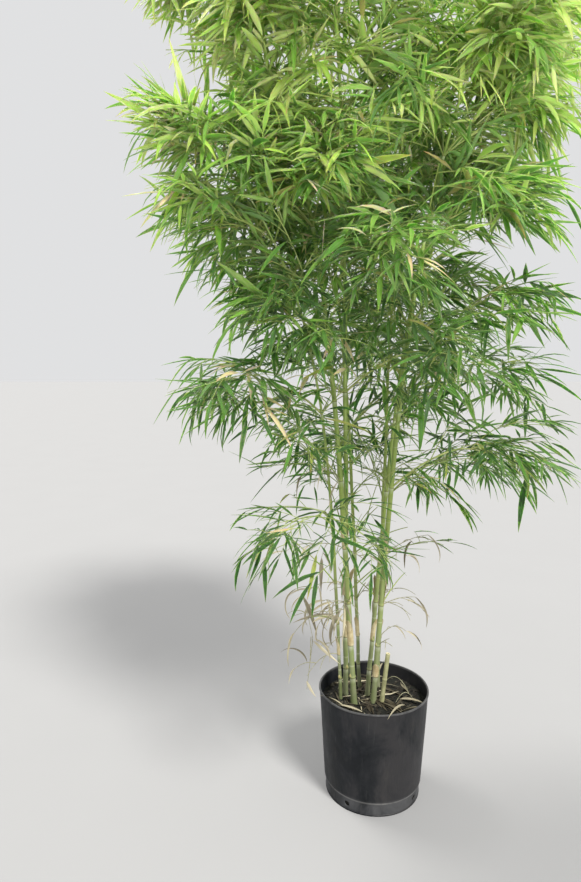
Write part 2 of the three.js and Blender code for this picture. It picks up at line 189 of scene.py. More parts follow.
def skin(grids, along=None, crease=40, **numbers):
    """One closed mesh over a stack of equal grids of points, shaped (count, rows, columns, 3).

    In each grid every four neighbouring points make a face, the last column joins the first, and one face
    closes each end row. The UV map holds the share of the way round and the share of the way along, or
    the rows' own values in along. Each of numbers becomes an attribute with a value for each point.
    """
    count, rows, columns, _ = grids.shape
    point = np.arange(count * rows * columns).reshape(count, rows, columns)
    beside = np.roll(point, -1, axis=2)
    sides = np.stack([point[:, :-1], beside[:, :-1], beside[:, 1:], point[:, 1:]], axis=-1)
    ends = np.stack([point[:, 0, ::-1], point[:, -1]], axis=1)
    corners = np.concatenate([sides.ravel(), ends.ravel()]).astype(np.int32)
    sizes = np.repeat([4, columns], [sides.size // 4, ends.size // columns])

    column = np.arange(columns) / columns
    across = np.stack([column, column + 1 / columns, column + 1 / columns, column], axis=-1)
    row = np.linspace(0, 1, rows) if along is None else along
    row = np.broadcast_to(row, (count, rows))
    down = np.stack([row[:, :-1], row[:, :-1], row[:, 1:], row[:, 1:]], axis=-1)
    side_u = np.broadcast_to(across, sides.shape)
    side_v = np.broadcast_to(down[:, :, None], sides.shape)
    end_u = np.broadcast_to(np.stack([column[::-1], column]), ends.shape)
    end_v = np.broadcast_to(row[:, [0, -1], None], ends.shape)
    u = np.concatenate([side_u.ravel(), end_u.ravel()])
    v = np.concatenate([side_v.ravel(), end_v.ravel()])

    mesh = bpy.data.meshes.new("surface")
    mesh.vertices.add(point.size)
    mesh.vertices.foreach_set("co", grids.astype(np.float32).ravel())
    mesh.loops.add(corners.size)
    mesh.loops.foreach_set("vertex_index", corners)
    mesh.polygons.add(sizes.size)
    mesh.polygons.foreach_set("loop_start", (np.cumsum(sizes) - sizes).astype(np.int32))
    mesh.update(calc_edges=True)
    uv = np.stack([u, v], axis=-1).astype(np.float32)
    mesh.uv_layers.new(name="UVMap").data.foreach_set("uv", uv.ravel())
    for label, values in numbers.items():
        values = np.broadcast_to(values, point.shape).astype(np.float32)
        mesh.attributes.new(label, "FLOAT", "POINT").data.foreach_set("value", values.ravel())
    mesh.shade_smooth()
    mesh.set_sharp_from_angle(angle=math.radians(crease))
    return mesh


def place(name, mesh, finish, slot, *nodes):
    """A finished piece at the origin, in its material, that rides on the plant and stands for its nodes."""
    mesh.name = name
    piece = bpy.data.objects.new(name, mesh)
    bpy.context.scene.collection.objects.link(piece)
    mesh.materials.clear()
    mesh.materials.append(finish.material)
    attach(piece, "root")
    if nodes:
        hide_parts(*nodes)


def heading_vector(degrees):
    """The level direction at a heading: 0 is +X and 90 is +Y."""
    angle = np.radians(degrees)
    return np.stack([np.cos(angle), np.sin(angle), 0 * angle], axis=-1)


def pot_side(height):
    """The outer radius of the plain wall, which widens evenly from base to rim."""
    return POT_BASE + (POT_RIM - POT_BASE) * height / POT_HEIGHT


def pot_dent(angle, height):
    """How far the soft wall stands out: slow waves round it, which grow towards the rim."""
    waves = 0.9 * np.sin(2 * angle + 0.7) + 0.5 * np.sin(3 * angle + 2.1 + 6 * height)
    waves = waves + 0.22 * np.sin(7 * angle + 14 * height) + 0.3 * np.sin(5 * angle - 21 * height)
    return 0.0012 * waves * (np.clip(height, 0, None) / POT_HEIGHT) ** 1.5


def dense(outline, step):
    """The outline with points added along its straight stretches, no more than a step apart."""
    outline = np.array(outline)
    reached = np.concatenate([[0], np.cumsum(np.hypot(*np.diff(outline, axis=0).T))])
    spots = np.union1d(reached, np.arange(0, reached[-1], step))
    return np.stack([np.interp(spots, reached, outline[:, k]) for k in (0, 1)], axis=1)


def lathe(outline, columns, swell):
    """The outline of (radius, height) points turned about the upright axis, each point out by swell."""
    angle = np.arange(columns) * 2 * np.pi / columns
    height = outline[:, 1:]
    radius = outline[:, :1] + swell(angle[None], height)
    turned = [radius * np.cos(angle), radius * np.sin(angle), np.broadcast_to(height, radius.shape)]
    return np.stack(turned, axis=-1)[None]


def band_side(height):
    """The outer radius of the foot band."""
    return pot_side(height) - FOOT_INSET


step_top = FOOT_TOP + FOOT_STEP
lip_low = POT_HEIGHT - 0.005
hem = band_side(0) + POT_HEM
lip = pot_side(POT_HEIGHT) + POT_LIP
pot_outline = [
    (0.020, 0.0),
    (hem - 0.0010, 0.0),
    (hem, 0.0008),
    (hem, 0.0040),
    (band_side(0.005) + 0.0002, 0.0052),
    (band_side(FOOT_TOP), FOOT_TOP - 0.0010),
    (band_side(FOOT_TOP) + 0.0004, FOOT_TOP),
    (pot_side(step_top) - 0.0006, step_top - 0.0010),
    (pot_side(step_top), step_top),
    (pot_side(lip_low), lip_low),
    (lip - 0.0004, lip_low + 0.0006),
    (lip, lip_low + 0.0014),
    (lip, POT_HEIGHT - 0.0010),
    (lip - 0.0008, POT_HEIGHT),
    (pot_side(POT_HEIGHT) - POT_WALL + 0.0006, POT_HEIGHT),
    (pot_side(POT_HEIGHT) - POT_WALL, POT_HEIGHT - 0.0006),
    (pot_side(step_top) - POT_WALL, step_top),
    (band_side(FOOT_TOP) - POT_WALL, FOOT_TOP),
    (band_side(POT_FLOOR) - POT_WALL, POT_FLOOR),
    (0.020, POT_FLOOR),
]
pot_mesh = skin(lathe(dense(pot_outline, 0.010), POT_COLUMNS, pot_dent))

drain_angle = np.linspace(0, 2 * np.pi, 25)[:-1, None]
drain_out = heading_vector(DRAIN_HEADINGS)[:, None, None]
drain_ring = np.cross(UP, drain_out) * np.cos(drain_angle) + UP * np.sin(drain_angle)
drain_reach = drain_out * np.reshape(DRAIN_DEPTHS, (2, 1, 1))
drain_grids = drain_reach + drain_ring * DRAIN_RADIUS + UP * DRAIN_HEIGHT
cutter = bpy.data.objects.new("drain_cutter", skin(drain_grids))
whole = bpy.data.objects.new("pot_whole", pot_mesh)
for thing in (cutter, whole):
    bpy.context.scene.collection.objects.link(thing)
cut = whole.modifiers.new("drains", "BOOLEAN")
cut.operation = "DIFFERENCE"
cut.object = cutter
pot_mesh = bpy.data.meshes.new_from_object(whole.evaluated_get(bpy.context.evaluated_depsgraph_get()))
for thing in (cutter, whole):
    bpy.data.objects.remove(thing)

plastic = Finish("black_polyethylene", {"IOR": 1.5, "Specular IOR Level": 0.2})
cloud = plastic.noise(9, 5, 0.62, stretch=(1, 1, 0.75), distortion=0.5)
smear = plastic.noise(26, 6, 0.7, stretch=(1, 1, 0.35))
scratch = plastic.noise(120, 3, 0.6, stretch=(1, 1, 0.08))
level = plastic.axis("Z")
black = plastic.ramp(cloud, (0.34, (14, 17, 20)), (0.5, (24, 27, 31)), (0.64, (38, 39, 43)))
# Dust clouds that fade out towards the left (-X) side, which stays black: dust, and painted shade on the
# pot's left side.
dust_and_left_shade = plastic.sum("ADD", plastic.axis("X"), plastic.span(cloud, 0.3, 0.7, -0.09, 0.09))
dust_and_left_shade = plastic.times(plastic.span(dust_and_left_shade, -0.09, 0.05), plastic.span(cloud, 0.36, 0.60, 0.15, 0.8))
dust_and_painted_light = plastic.mix(dust_and_left_shade, black, (50, 49, 50))
dust_and_painted_light = plastic.coat(dust_and_painted_light, (66, 64, 62), smear, 0.54, 0.74, 0.45)
dust_and_painted_light = plastic.coat(dust_and_painted_light, (92, 92, 92), scratch, 0.60, 0.75, 0.18)
# Dust on the foot band, left off the lowest 3 to 8 mm so the hem stays black: dust, and a painted contact
# shadow along the bottom.
foot_dust_over_shaded_hem = plastic.band(level, (0.048, 0.034), (0.003, 0.008))
# A pale line round the step into the foot band: painted highlight on the ledge, with dust in it.
step_highlight_and_dust = plastic.band(level, (0.034, 0.037), (0.043, 0.040))
# A pale ring on top of the lip: painted highlight, with some wear.
rim_highlight_and_wear = plastic.span(level, 0.2945, 0.2965)
for line, patches, tone in (
    (foot_dust_over_shaded_hem, plastic.span(cloud, 0.38, 0.62, 0.10, 0.75), (88, 89, 91)),
    (step_highlight_and_dust, plastic.span(smear, 0.35, 0.65, 0.15, 0.6), (156, 155, 153)),
    (rim_highlight_and_wear, plastic.span(smear, 0.35, 0.6, 0.2, 0.6), (104, 104, 104)),
):
    dust_and_painted_light = plastic.mix(plastic.times(line, patches), dust_and_painted_light, tone)
satin = plastic.span(smear, 0.3, 0.8, 0.40, 0.66)
plastic.wear(dust_and_painted_light, satin, [(cloud, 0.0012), (smear, 0.0006), (scratch, 0.0003)])
place("pot_shell", pot_mesh, plastic, "pot", "pot")

# The potting mix
# Composted bark, dark and moist and painted darker still as shade inside the pot, filled to two fingers'
# width under the rim and sunk a little along the wall. Its top is uneven, and it fills the pot down to the
# floor.

MIX_TOP = 0.268
MIX_DROP = 0.009
MIX_FLAT = 0.108
MIX_GAP = 0.0005


def eased(share):
    """A share that starts and ends gently, by smoothstep."""
    return share * share * (3 - 2 * share)


def lumps(x, y, cell, seed):
    """Smooth lumps from -1 to 1: random heights on a square lattice of cells, blended by smoothstep."""
    heights = np.random.default_rng(seed).uniform(-1, 1, (64, 64))
    column, row = np.floor(x / cell).astype(int), np.floor(y / cell).astype(int)
    across, up = eased(x / cell - column), eased(y / cell - row)
    corner = [[heights[(column + i) % 64, (row + j) % 64] for i in (0, 1)] for j in (0, 1)]
    low = corner[0][0] * (1 - across) + corner[0][1] * across
    high = corner[1][0] * (1 - across) + corner[1][1] * across
    return low * (1 - up) + high * up


def mix_height(x, y):
    """The height of the mix: flat with lumps of three sizes, and lower towards the wall."""
    edge = np.clip((np.hypot(x, y) - MIX_FLAT) / (POT_RIM - MIX_FLAT), 0, 1)
    rough = 0.0026 * lumps(x, y, 0.024, 3) + 0.0016 * lumps(x, y, 0.010, 4) + 0.0008 * lumps(x, y, 0.004, 5)
    return MIX_TOP - MIX_DROP * eased(edge) + rough


columns = np.arange(POT_COLUMNS) * 2 * np.pi / POT_COLUMNS
wall_heights = np.array([POT_FLOOR + MIX_GAP, FOOT_TOP, step_top + 0.001, 0.10, 0.15, 0.20, 0.245])[:, None]
outside = np.where(wall_heights < step_top, band_side(wall_heights), pot_side(wall_heights))
inner = outside - POT_WALL - MIX_GAP + pot_dent(columns, wall_heights)
ring_shares = np.linspace(1, 0.02, 46)[:, None]
rim_inside = pot_side(0.26) - POT_WALL - MIX_GAP + pot_dent(columns, 0.26)
radius = np.concatenate([np.full((1, POT_COLUMNS), 0.02), inner, ring_shares * rim_inside])
mix_x, mix_y = radius * np.cos(columns), radius * np.sin(columns)
mix_z = mix_height(mix_x, mix_y)
mix_z[: len(wall_heights) + 1] = np.concatenate([wall_heights[:1], wall_heights])
mix_grid = np.stack([mix_x, mix_y, mix_z], axis=-1)[None]

bark = Finish("composted_bark", {"Specular IOR Level": 0.25})
clod = bark.noise(55, 6, 0.65)
crumb = bark.noise(260, 4, 0.7)
# The bark's own dark tones, made darker still as painted shade inside the pot.
soil = bark.ramp(clod, (0.25, (15, 16, 14)), (0.5, (26, 27, 23)), (0.75, (45, 45, 39)))
soil = bark.coat(soil, (72, 71, 61), crumb, 0.58, 0.72, 0.45)
bark.wear(soil, bark.span(clod, 0, 1, 0.98, 0.8), [(clod, 0.003), (crumb, 0.0012)])
place("potting_mix_bed", skin(mix_grid, crease=60), bark, "potting_mix", "potting_mix")

# Bark chips
# Flat chips and crumbs of composted bark, lying loose on the mix and pressed into it at all angles.

CHIP_COUNT = 520
CHIP_SPREAD = 0.135
CHIP_LEAST = (0.003, 0.002, 0.0007)  # half the length, width and thickness
CHIP_MOST = (0.0085, 0.0048, 0.0018)
CHIP_TILT = 0.38

random = np.random.default_rng(11)


def unit(vectors):
    """Vectors scaled to a length of one."""
    return vectors / np.linalg.norm(vectors, axis=-1, keepdims=True)


chip_far = CHIP_SPREAD * np.sqrt(random.random(CHIP_COUNT))
chip_way = 2 * np.pi * random.random(CHIP_COUNT)
chip_x, chip_y = chip_far * np.cos(chip_way), chip_far * np.sin(chip_way)
chip_up = unit(UP + CHIP_TILT * random.normal(size=(CHIP_COUNT, 3)))
chip_long = unit(np.cross(chip_up, random.normal(size=(CHIP_COUNT, 3))))
chip_wide = np.cross(chip_up, chip_long)
chip_size = random.uniform(CHIP_LEAST, CHIP_MOST, (CHIP_COUNT, 3))
chip_size *= np.where(random.random(CHIP_COUNT) < 0.15, 1.5, 0.9)[:, None]
ring = np.arange(6) * np.pi / 3
layers = np.array([[-1.0, 0.55], [-0.3, 1.0], [0.6, 0.9], [1.0, 0.5]])
ragged = 1 + 0.28 * random.uniform(-1, 1, (CHIP_COUNT, len(layers), len(ring)))
reach = layers[:, 1][None, :, None] * ragged
chip_points = (
    chip_long[:, None, None] * (reach * np.cos(ring) * chip_size[:, :1, None])[..., None]
    + chip_wide[:, None, None] * (reach * np.sin(ring) * chip_size[:, 1:2, None])[..., None]
    + chip_up[:, None, None] * (layers[:, 0][None, :, None] * chip_size[:, 2:, None])[..., None]
)
chip_points = chip_points + np.stack([chip_x, chip_y, mix_height(chip_x, chip_y) + 0.0008], -1)[:, None, None]
chip_tone = random.random(CHIP_COUNT)[:, None, None]

chips = Finish("bark_chips", {"Specular IOR Level": 0.3, "Roughness": 0.9})
grain = chips.noise(180, 5, 0.7, stretch=(1, 0.4, 1))
tone = chips.ramp(chips.number("tone"), (0.0, (20, 20, 18)), (0.6, (39, 39, 33)), (1.0, (76, 74, 63)))
chips.wear(chips.coat(tone, (52, 42, 33), grain, 0.3, 0.7, 0.5), None, [(grain, 0.0008)])
place("bark_chips", skin(chip_points, tone=chip_tone), chips, "potting_mix")

# Dry leaves on the mix
# Last season's leaves, dropped from the canes: thin straw-coloured blades, rolled and twisted as they
# dried, that lie criss-cross on the mix. A few lean on the wall, and one hangs over the front of the rim.

LITTER_COUNT = 44
LITTER_SPREAD = 0.118
LITTER_LENGTHS = (0.045, 0.12)
BLADE_OUTLINE = ((0, 0.07), (0.07, 0.5), (0.3, 1.0), (0.56, 0.86), (0.82, 0.42), (1, 0.015))
BLADE_THICKNESS = 0.0005


def blades(root, heading, pitch, length, width, droop, roll, twist, fold, rows=None):
    """Leaf blades as a stack of grids, from one number or vector for each blade. Angles are in degrees.

    A midrib starts at its root, climbs at the pitch in the upright plane of its heading, and its pitch
    falls by the droop on the way to the tip. The blade lies across it, turned about it by the roll and
    by the twist more at the tip. A row is the left edge, the midrib's top, the right edge and the
    underside, and both edges are folded up from the midrib by the fold.
    """
    outline = np.array(BLADE_OUTLINE)
    share = outline[:, 0] if rows is None else np.linspace(0, 1, rows)
    half = np.interp(share, outline[:, 0], outline[:, 1]) * width[:, None] / 2
    out = heading_vector(heading)[:, None]
    fall = np.radians(pitch[:, None] - droop[:, None] * share**1.3)
    along = out * np.cos(fall)[..., None] + UP * np.sin(fall)[..., None]
    links = unit(along[:, 1:] + along[:, :-1]) * np.diff(share)[:, None] * length[:, None, None]
    midrib = np.concatenate([root[:, None], root[:, None] + np.cumsum(links, axis=1)], axis=1)
    level = np.broadcast_to(np.cross(out, UP), along.shape)
    face = np.cross(level, along)
    turn = np.radians(roll[:, None] + twist[:, None] * share)[..., None]
    across = level * np.cos(turn) + face * np.sin(turn)
    above = face * np.cos(turn) - level * np.sin(turn)
    lift = np.radians(fold)[:, None, None]
    left = midrib + (above * np.sin(lift) - across * np.cos(lift)) * half[..., None]
    right = midrib + (above * np.sin(lift) + across * np.cos(lift)) * half[..., None]
    thick = BLADE_THICKNESS * np.interp(share, [0, 0.1, 1], [2.2, 1.0, 0.5])[:, None]
    return np.stack([left, midrib, right, midrib - above * thick], axis=2)


def dried(root, heading, length, rows, *ranges):
    """Dried leaves, their pitch, slimness, droop, roll, twist and fold drawn from ranges in that order."""
    pitch, slimness, droop, roll, twist, fold = (random.uniform(*ends, len(root)) for ends in ranges)
    return blades(root, heading, pitch, length, length * slimness, droop, roll, twist, fold, rows)


litter_far = LITTER_SPREAD * np.sqrt(random.random(LITTER_COUNT))
litter_way = 360 * random.random(LITTER_COUNT)
litter_root = heading_vector(litter_way) * litter_far[:, None]
litter_heading = litter_way + 180 + random.uniform(-80, 80, LITTER_COUNT)
litter_length = random.uniform(*LITTER_LENGTHS, LITTER_COUNT)
litter_ranges = [(0, 12), (0.06, 0.13), (-5, 26), (-30, 30), (-120, 120), (10, 55)]
litter_grids = dried(litter_root, litter_heading, litter_length, 9, *litter_ranges)
lying = mix_height(litter_grids[..., 0], litter_grids[..., 1])
litter_grids[..., 2] = lying + np.abs(litter_grids[..., 2]) * 0.7 + 0.0016

# Root, heading, pitch, length, width, droop, roll, twist and fold of the leaves that lean on the wall.
leaning = np.array([
    (0.082, -0.072, 0.281, 233, 34, 0.118, 0.008, 62, 0, 15, 20),
    (0.070, -0.020, 0.272, -30, 16, 0.082, 0.012, 30, -20, 40, 30),
    (-0.086, -0.060, 0.272, 170, 34, 0.075, 0.010, 30, 10, -60, 28),
    (0.060, -0.085, 0.272, 20, 10, 0.070, 0.011, 24, 30, 50, 20),
    (-0.030, -0.098, 0.271, 150, 12, 0.090, 0.010, 20, -30, 70, 30),
    (0.020, 0.095, 0.272, 60, 38, 0.090, 0.010, 50, 0, 50, 30),
])
leaning_grids = blades(leaning[:, :3], *leaning[:, 3:].T, rows=9)
dry_grids = np.concatenate([litter_grids, leaning_grids])
# Most leaves lying on the mix get dark tones, partly their own colour and partly painted shade inside the
# pot; those leaning on the wall are set lighter.
dry_tone = random.random(len(dry_grids)) ** 2.8
dry_tone[-len(leaning):] = 0.72
dry_tone = dry_tone[:, None, None]

straw = Finish("dry_leaf", {"Specular IOR Level": 0.35})
fibre = straw.fibre(60, 3)
age = straw.ramp(straw.number("tone"), (0, (40, 40, 34)), (0.5, (80, 78, 64)), (1, (222, 214, 184)))
age = straw.coat(age, (120, 100, 70), fibre, 0.35, 0.75, 0.45)
straw.wear(age, straw.span(fibre, 0, 1, 0.6, 0.85), [(fibre, 0.0003)])
place("dry_leaf_litter", skin(dry_grids, crease=70, tone=dry_tone), straw, "foliage")

# The canes
# Seven living canes, round and jointed, smooth and hard as polished wood. Below each joint is a band of
# white bloom, and above it the scar of the fallen sheath and a swollen ring. Old and grey at the foot, fresh
# above, and a darker green low down: partly older cane, partly painted shade under the crown.

MM = 0.001
CANES = [
    dict(name="left", foot=(-58, -38), heading=180, lean=3.8, length=2120, radius=7.8, arch=0.12),
    dict(name="front", foot=(-77, 14), heading=254, lean=3.0, length=2180, radius=7.2, arch=0.12),
    dict(name="thin_left", foot=(-92, -8), heading=208, lean=3.4, length=1620, radius=4.6, arch=0.2),
    dict(name="back_left", foot=(-34, 52), heading=132, lean=3.6, length=1900, radius=5.2, arch=0.13),
    dict(name="right", foot=(-4, -28), heading=338, lean=3.4, length=2060, radius=7.4, arch=0.12),
    dict(name="back_right", foot=(-16, 12), heading=16, lean=4.4, length=1980, radius=6.4, arch=0.13),
    dict(name="back", foot=(18, 48), heading=72, lean=4.2, length=1840, radius=5.6, arch=0.14),
]
CANE_STAND = 268.3  # the height of the foot
CANE_JOINTS = 14
CANE_CROWDING = 0.08
CANE_THINNING = 0.75
CANE_THINNING_POWER = 1.3
CANE_FLARE = 0.25
CANE_FLARE_HEIGHT = 22
CANE_RIDGE = 1.16
CANE_SAG = 0.5
CANE_END = 0.87
CANE_COLUMNS = 22
RING_HEIGHT = 0.003  # of the swollen ring over a joint
RING_SPREAD = 0.0026
SCAR_SPREAD = 0.0009
LINE_PARTS = ("start", "out", "run", "rise", "sag")


class Lines:
    """Centre lines of limbs, each in an upright plane, one for each row of the values.

    At the share t of its length a line is at start + out (run t + arch t^power) + up (rise t - sag t^power).
    """

    def __init__(self, start, out, run, rise, sag, arch=0.0, power=2):
        self.start = np.atleast_2d(start)
        self.out = np.atleast_2d(out)
        self.run, self.rise, self.sag, self.arch = (np.reshape(x, (-1, 1)) for x in (run, rise, sag, arch))
        self.power = power
        self.side = np.cross(self.out, UP)

    def at(self, share):
        """The points at the shares, shaped (lines, shares, 3)."""
        bend = share**self.power
        ahead = self.run * share + self.arch * bend
        height = self.rise * share - self.sag * bend
        return self.start[:, None] + self.out[:, None] * ahead[..., None] + UP * height[..., None]

    def point(self, share):
        """The point of a single line at one share."""
        return self.at(np.array([share]))[0, 0]

    def toward(self, share):
        """The unit directions at the shares."""
        slope = self.power * share ** (self.power - 1)
        ahead = self.run + self.arch * slope
        height = self.rise - self.sag * slope
        return unit(self.out[:, None] * ahead[..., None] + UP * height[..., None])

    def direction(self, share):
        """The unit direction of a single line at one share."""
        return self.toward(np.array([share]))[0, 0]


def tubes(lines, share, radius, columns, zigzag=0.0):
    """Round limbs as a stack of grids: a ring of the radius about each line at each share.

    A ring's point at the angle a is at centre + radius (side cos a + across sin a).
    """
    along = lines.toward(share)
    side = np.broadcast_to(lines.side[:, None], along.shape)
    across = np.cross(along, side)
    angle = np.arange(columns)[:, None] * 2 * np.pi / columns
    ring = side[:, :, None] * np.cos(angle) + across[:, :, None] * np.sin(angle)
    centre = lines.at(share) + side * np.reshape(zigzag, (-1, 1))
    return centre[:, :, None] + ring * np.broadcast_to(radius, along.shape[:2])[..., None, None]


def joint_share(joint):
    """The share of a cane's length at which a joint lies: closer together at the foot and the tip."""
    return joint / CANE_JOINTS - CANE_CROWDING * np.sin(2 * np.pi * joint / CANE_JOINTS)


def cane_radius(cane, share):
    """A cane's plain radius, which thins towards the tip."""
    return cane["radius"] * MM * (1 - CANE_THINNING * np.clip(share, 0, 1) ** CANE_THINNING_POWER)


def cane_line(cane):
    """A cane's centre line from its foot on the mix."""
    length = cane["length"] * MM
    start = np.array([*cane["foot"], CANE_STAND]) * MM
    run = length * math.tan(math.radians(cane["lean"]))
    sag = length * cane["arch"] * CANE_SAG
    return Lines(start, heading_vector(cane["heading"]), run, length, sag, length * cane["arch"], 4)


def over_joint(share, length):
    """How far each share lies above the nearest joint, less than nothing below it."""
    gap = (share[:, None] - joint_share(np.arange(1, CANE_JOINTS))) * length
    return gap[np.arange(len(share)), np.abs(gap).argmin(axis=1)]


def bump(height, middle, spread):
    """A smooth bump of one at the middle height that dies out within about twice the spread."""
    return np.exp(-(((height - middle) / spread) ** 2))


cane_offsets = np.array([-14, -8, -4, -1.6, -0.6, 0.5, 1.5, 2.8, 4.2, 6.5, 11])
cane_finish = Finish("living_cane", {"Specular IOR Level": 0.5, "Coat Weight": 0.12, "Coat Roughness": 0.3})
level = cane_finish.axis("Z")
above = cane_finish.number("above_joint")
# The green is darker towards the foot: partly older cane, partly painted shade under the crown.
green = cane_finish.ramp(
    cane_finish.span(level, 0.25, 1.9),
    (0.0, (102, 112, 80)),
    (0.14, (124, 140, 78)),
    (0.32, (142, 162, 76)),
    (0.62, (130, 158, 64)),
    (1.0, (122, 154, 60)),
)
stripe = cane_finish.noise(300, 3, 0.6, stretch=(1, 1, 0.03))
blotch = cane_finish.noise(38, 5, 0.65, stretch=(1, 1, 0.45))
green = cane_finish.coat(green, (158, 168, 104), stripe, 0.35, 0.7, 0.3)
aged = cane_finish.span(level, 0.75, 0.27, 0, 0.75)
bloom = cane_finish.band(above, (-16, -3), (-0.4, -1.2))
scar = cane_finish.band(above, (-1.1, -0.3), (1.3, 0.5))
ring_tone = cane_finish.band(above, (1, 2.5), (7, 4))
for mark, strength, tone in (
    (aged, cane_finish.span(blotch, 0.4, 0.65), (138, 138, 116)),
    (bloom, cane_finish.span(blotch, 0.3, 0.65, 0.15, 0.6), (206, 210, 186)),
    (scar, 0.7, (110, 96, 64)),
    (ring_tone, 0.28, (178, 184, 120)),
):
    green = cane_finish.mix(cane_finish.times(mark, strength), green, tone)
cane_finish.wear(green, cane_finish.span(blotch, 0.2, 0.8, 0.34, 0.6), [(stripe, 0.0002), (blotch, 0.0003)])

cane_lines = {}
for cane in CANES:
    length = cane["length"] * MM
    near = (joint_share(np.arange(1, CANE_JOINTS))[:, None] + cane_offsets * MM / length).ravel()
    share = np.union1d(near, np.linspace(0, CANE_END, 90))
    share = share[(share > 0.004) & (share < CANE_END - 0.001)]
    share = np.concatenate([[-0.010 / length, 0, 0.004], share, [CANE_END]])
    above_joint = over_joint(share, length)
    swell = 0.15 * bump(above_joint, RING_HEIGHT, RING_SPREAD) + 0.09 * bump(above_joint, 0, SCAR_SPREAD)
    flare = CANE_FLARE * np.exp(-np.clip(share, 0, 1) * length / (CANE_FLARE_HEIGHT * MM))
    line = cane_lines[cane["name"]] = cane_line(cane)
    every = np.arange(CANE_JOINTS + 1)
    swing = 0.0011 * np.cos(np.pi * np.interp(share, joint_share(every), every))
    grids = tubes(line, share, cane_radius(cane, share) * (1 + swell + flare), CANE_COLUMNS, swing)
    mesh = skin(grids, share, above_joint=above_joint[None, :, None] / MM)
    place("culm_" + cane["name"], mesh, cane_finish, "cane", "cane_" + cane["name"])

# The cut cane
# An old cane sawn off 14 cm above the mix. It has gone grey, and its end is open: the wall shows as a pale
# ring round the hollow, which the next joint closes below.

CUT_CANE = dict(foot=(19, -30), heading=2, lean=6, length=142, radius=6.4, arch=0)
CUT_HOLLOW = 0.62  # of the radius
CUT_DEPTH = 0.012
CUT_JOINT = 0.45  # of the length

cut_line = cane_line(CUT_CANE)
cut_length = CUT_CANE["length"] * MM
cut_stretches = [(-0.05, 0.38, 12), (0.40, 0.50, 12), (0.53, 0.995, 9)]
cut_share = np.concatenate([np.linspace(*stretch) for stretch in cut_stretches])
cut_radius = CUT_CANE["radius"] * MM * (1.12 - 0.17 * np.clip(cut_share * 4, 0, 1))
cut_radius = cut_radius * (1 + 0.16 * bump((cut_share - CUT_JOINT) * cut_length, RING_HEIGHT, RING_SPREAD))
inside = cut_radius[-1] * CUT_HOLLOW
cut_share = np.concatenate([cut_share, [1, 1, 1 - CUT_DEPTH / cut_length, 1 - CUT_DEPTH / cut_length]])
cut_radius = np.concatenate([cut_radius, [cut_radius[-1] * 0.96, inside, inside * 0.95, inside * 0.2]])
cut_grids = tubes(cut_line, cut_share, cut_radius, 24)
at_cut = (np.arange(len(cut_share)) >= len(cut_share) - 4).astype(float)

grey_cane = Finish("weathered_cane", {"Specular IOR Level": 0.4})
stripe = grey_cane.noise(320, 3, 0.6, stretch=(1, 1, 0.04))
blotch = grey_cane.noise(60, 5, 0.65, stretch=(1, 1, 0.5))
grey = grey_cane.ramp(blotch, (0.3, (134, 134, 96)), (0.55, (166, 166, 124)), (0.75, (190, 186, 150)))
grey = grey_cane.coat(grey, (118, 112, 82), stripe, 0.4, 0.7, 0.4)
grey = grey_cane.coat(grey, (212, 204, 168), grey_cane.number("at_cut"), 0.2, 0.9)
grey_cane.wear(grey, grey_cane.span(blotch, 0.2, 0.8, 0.6, 0.85), [(stripe, 0.0004), (blotch, 0.0004)])
cut_mesh = skin(cut_grids, np.clip(cut_share, 0, 1), at_cut=at_cut[None, :, None])
place("cut_culm", cut_mesh, grey_cane, "dry_cane", "cane_cut")

# Sheaths and buds
# Papery sheaths, straw-coloured, that still clasp some of the lower joints: each wraps about half way round
# its cane and narrows to a point that stands away. A small scaly bud sits at each of the lowest three joints.

SHEATH_ROWS = 10
SHEATH_HALF = 9  # points across each face

# Cane, joint, length in mm, heading of the middle, how far round it wraps, and how far its tip stands off.
SHEATHS = [
    ("left", 2, 74, 250, 210, 5), ("left", 3, 96, 20, 170, 16), ("front", 2, 62, 310, 200, 6),
    ("front", 3, 82, 190, 160, 14), ("thin_left", 2, 56, 200, 230, 4), ("right", 1, 40, 250, 220, 3),
    ("right", 3, 78, 60, 200, 9), ("right", 4, 70, 230, 150, 12), ("back_right", 2, 66, 300, 200, 6),
    ("back_right", 3, 72, 120, 180, 10), ("back_left", 2, 60, 240, 210, 5), ("back", 2, 58, 300, 200, 8),
    ("back", 3, 66, 100, 170, 10), ("front", 4, 76, 20, 150, 13), ("left", 4, 80, 200, 140, 10),
]


def sheath_grid(name, joint, length, heading, wrap, stand):
    """One sheath: rings about the cane that open, narrow to nothing and stand off towards the tip.

    At the height share h the half wrap is wrap/2 (1 - h^2.4), and the gap to the cane grows as h^3. The
    outer face runs one way round and the inner face, a sheet's thickness less, comes back.
    """
    cane = next(cane for cane in CANES if cane["name"] == name)
    line = cane_lines[name]
    height = np.linspace(0, 1, SHEATH_ROWS)
    share = joint_share(joint) + height * length / cane["length"] + 0.0006
    radius = cane_radius(cane, share) * 1.10 + 0.0004 + stand * MM * height**3
    half = np.radians(wrap / 2) * (1 - height**2.4) + 0.03
    sweep = np.linspace(-1, 1, SHEATH_HALF)
    angle = np.radians(heading) + half[:, None] * np.concatenate([sweep, sweep[::-1]])
    frill = 0.0005 * np.sin(9 * angle + 5 * height[:, None]) * height[:, None]
    depth = np.repeat([0.0, 0.0005], SHEATH_HALF)
    far = radius[:, None] - depth + frill
    level = np.stack([np.cos(angle), np.sin(angle), 0 * angle], axis=-1)
    return line.at(share)[0][:, None] + level * far[..., None]


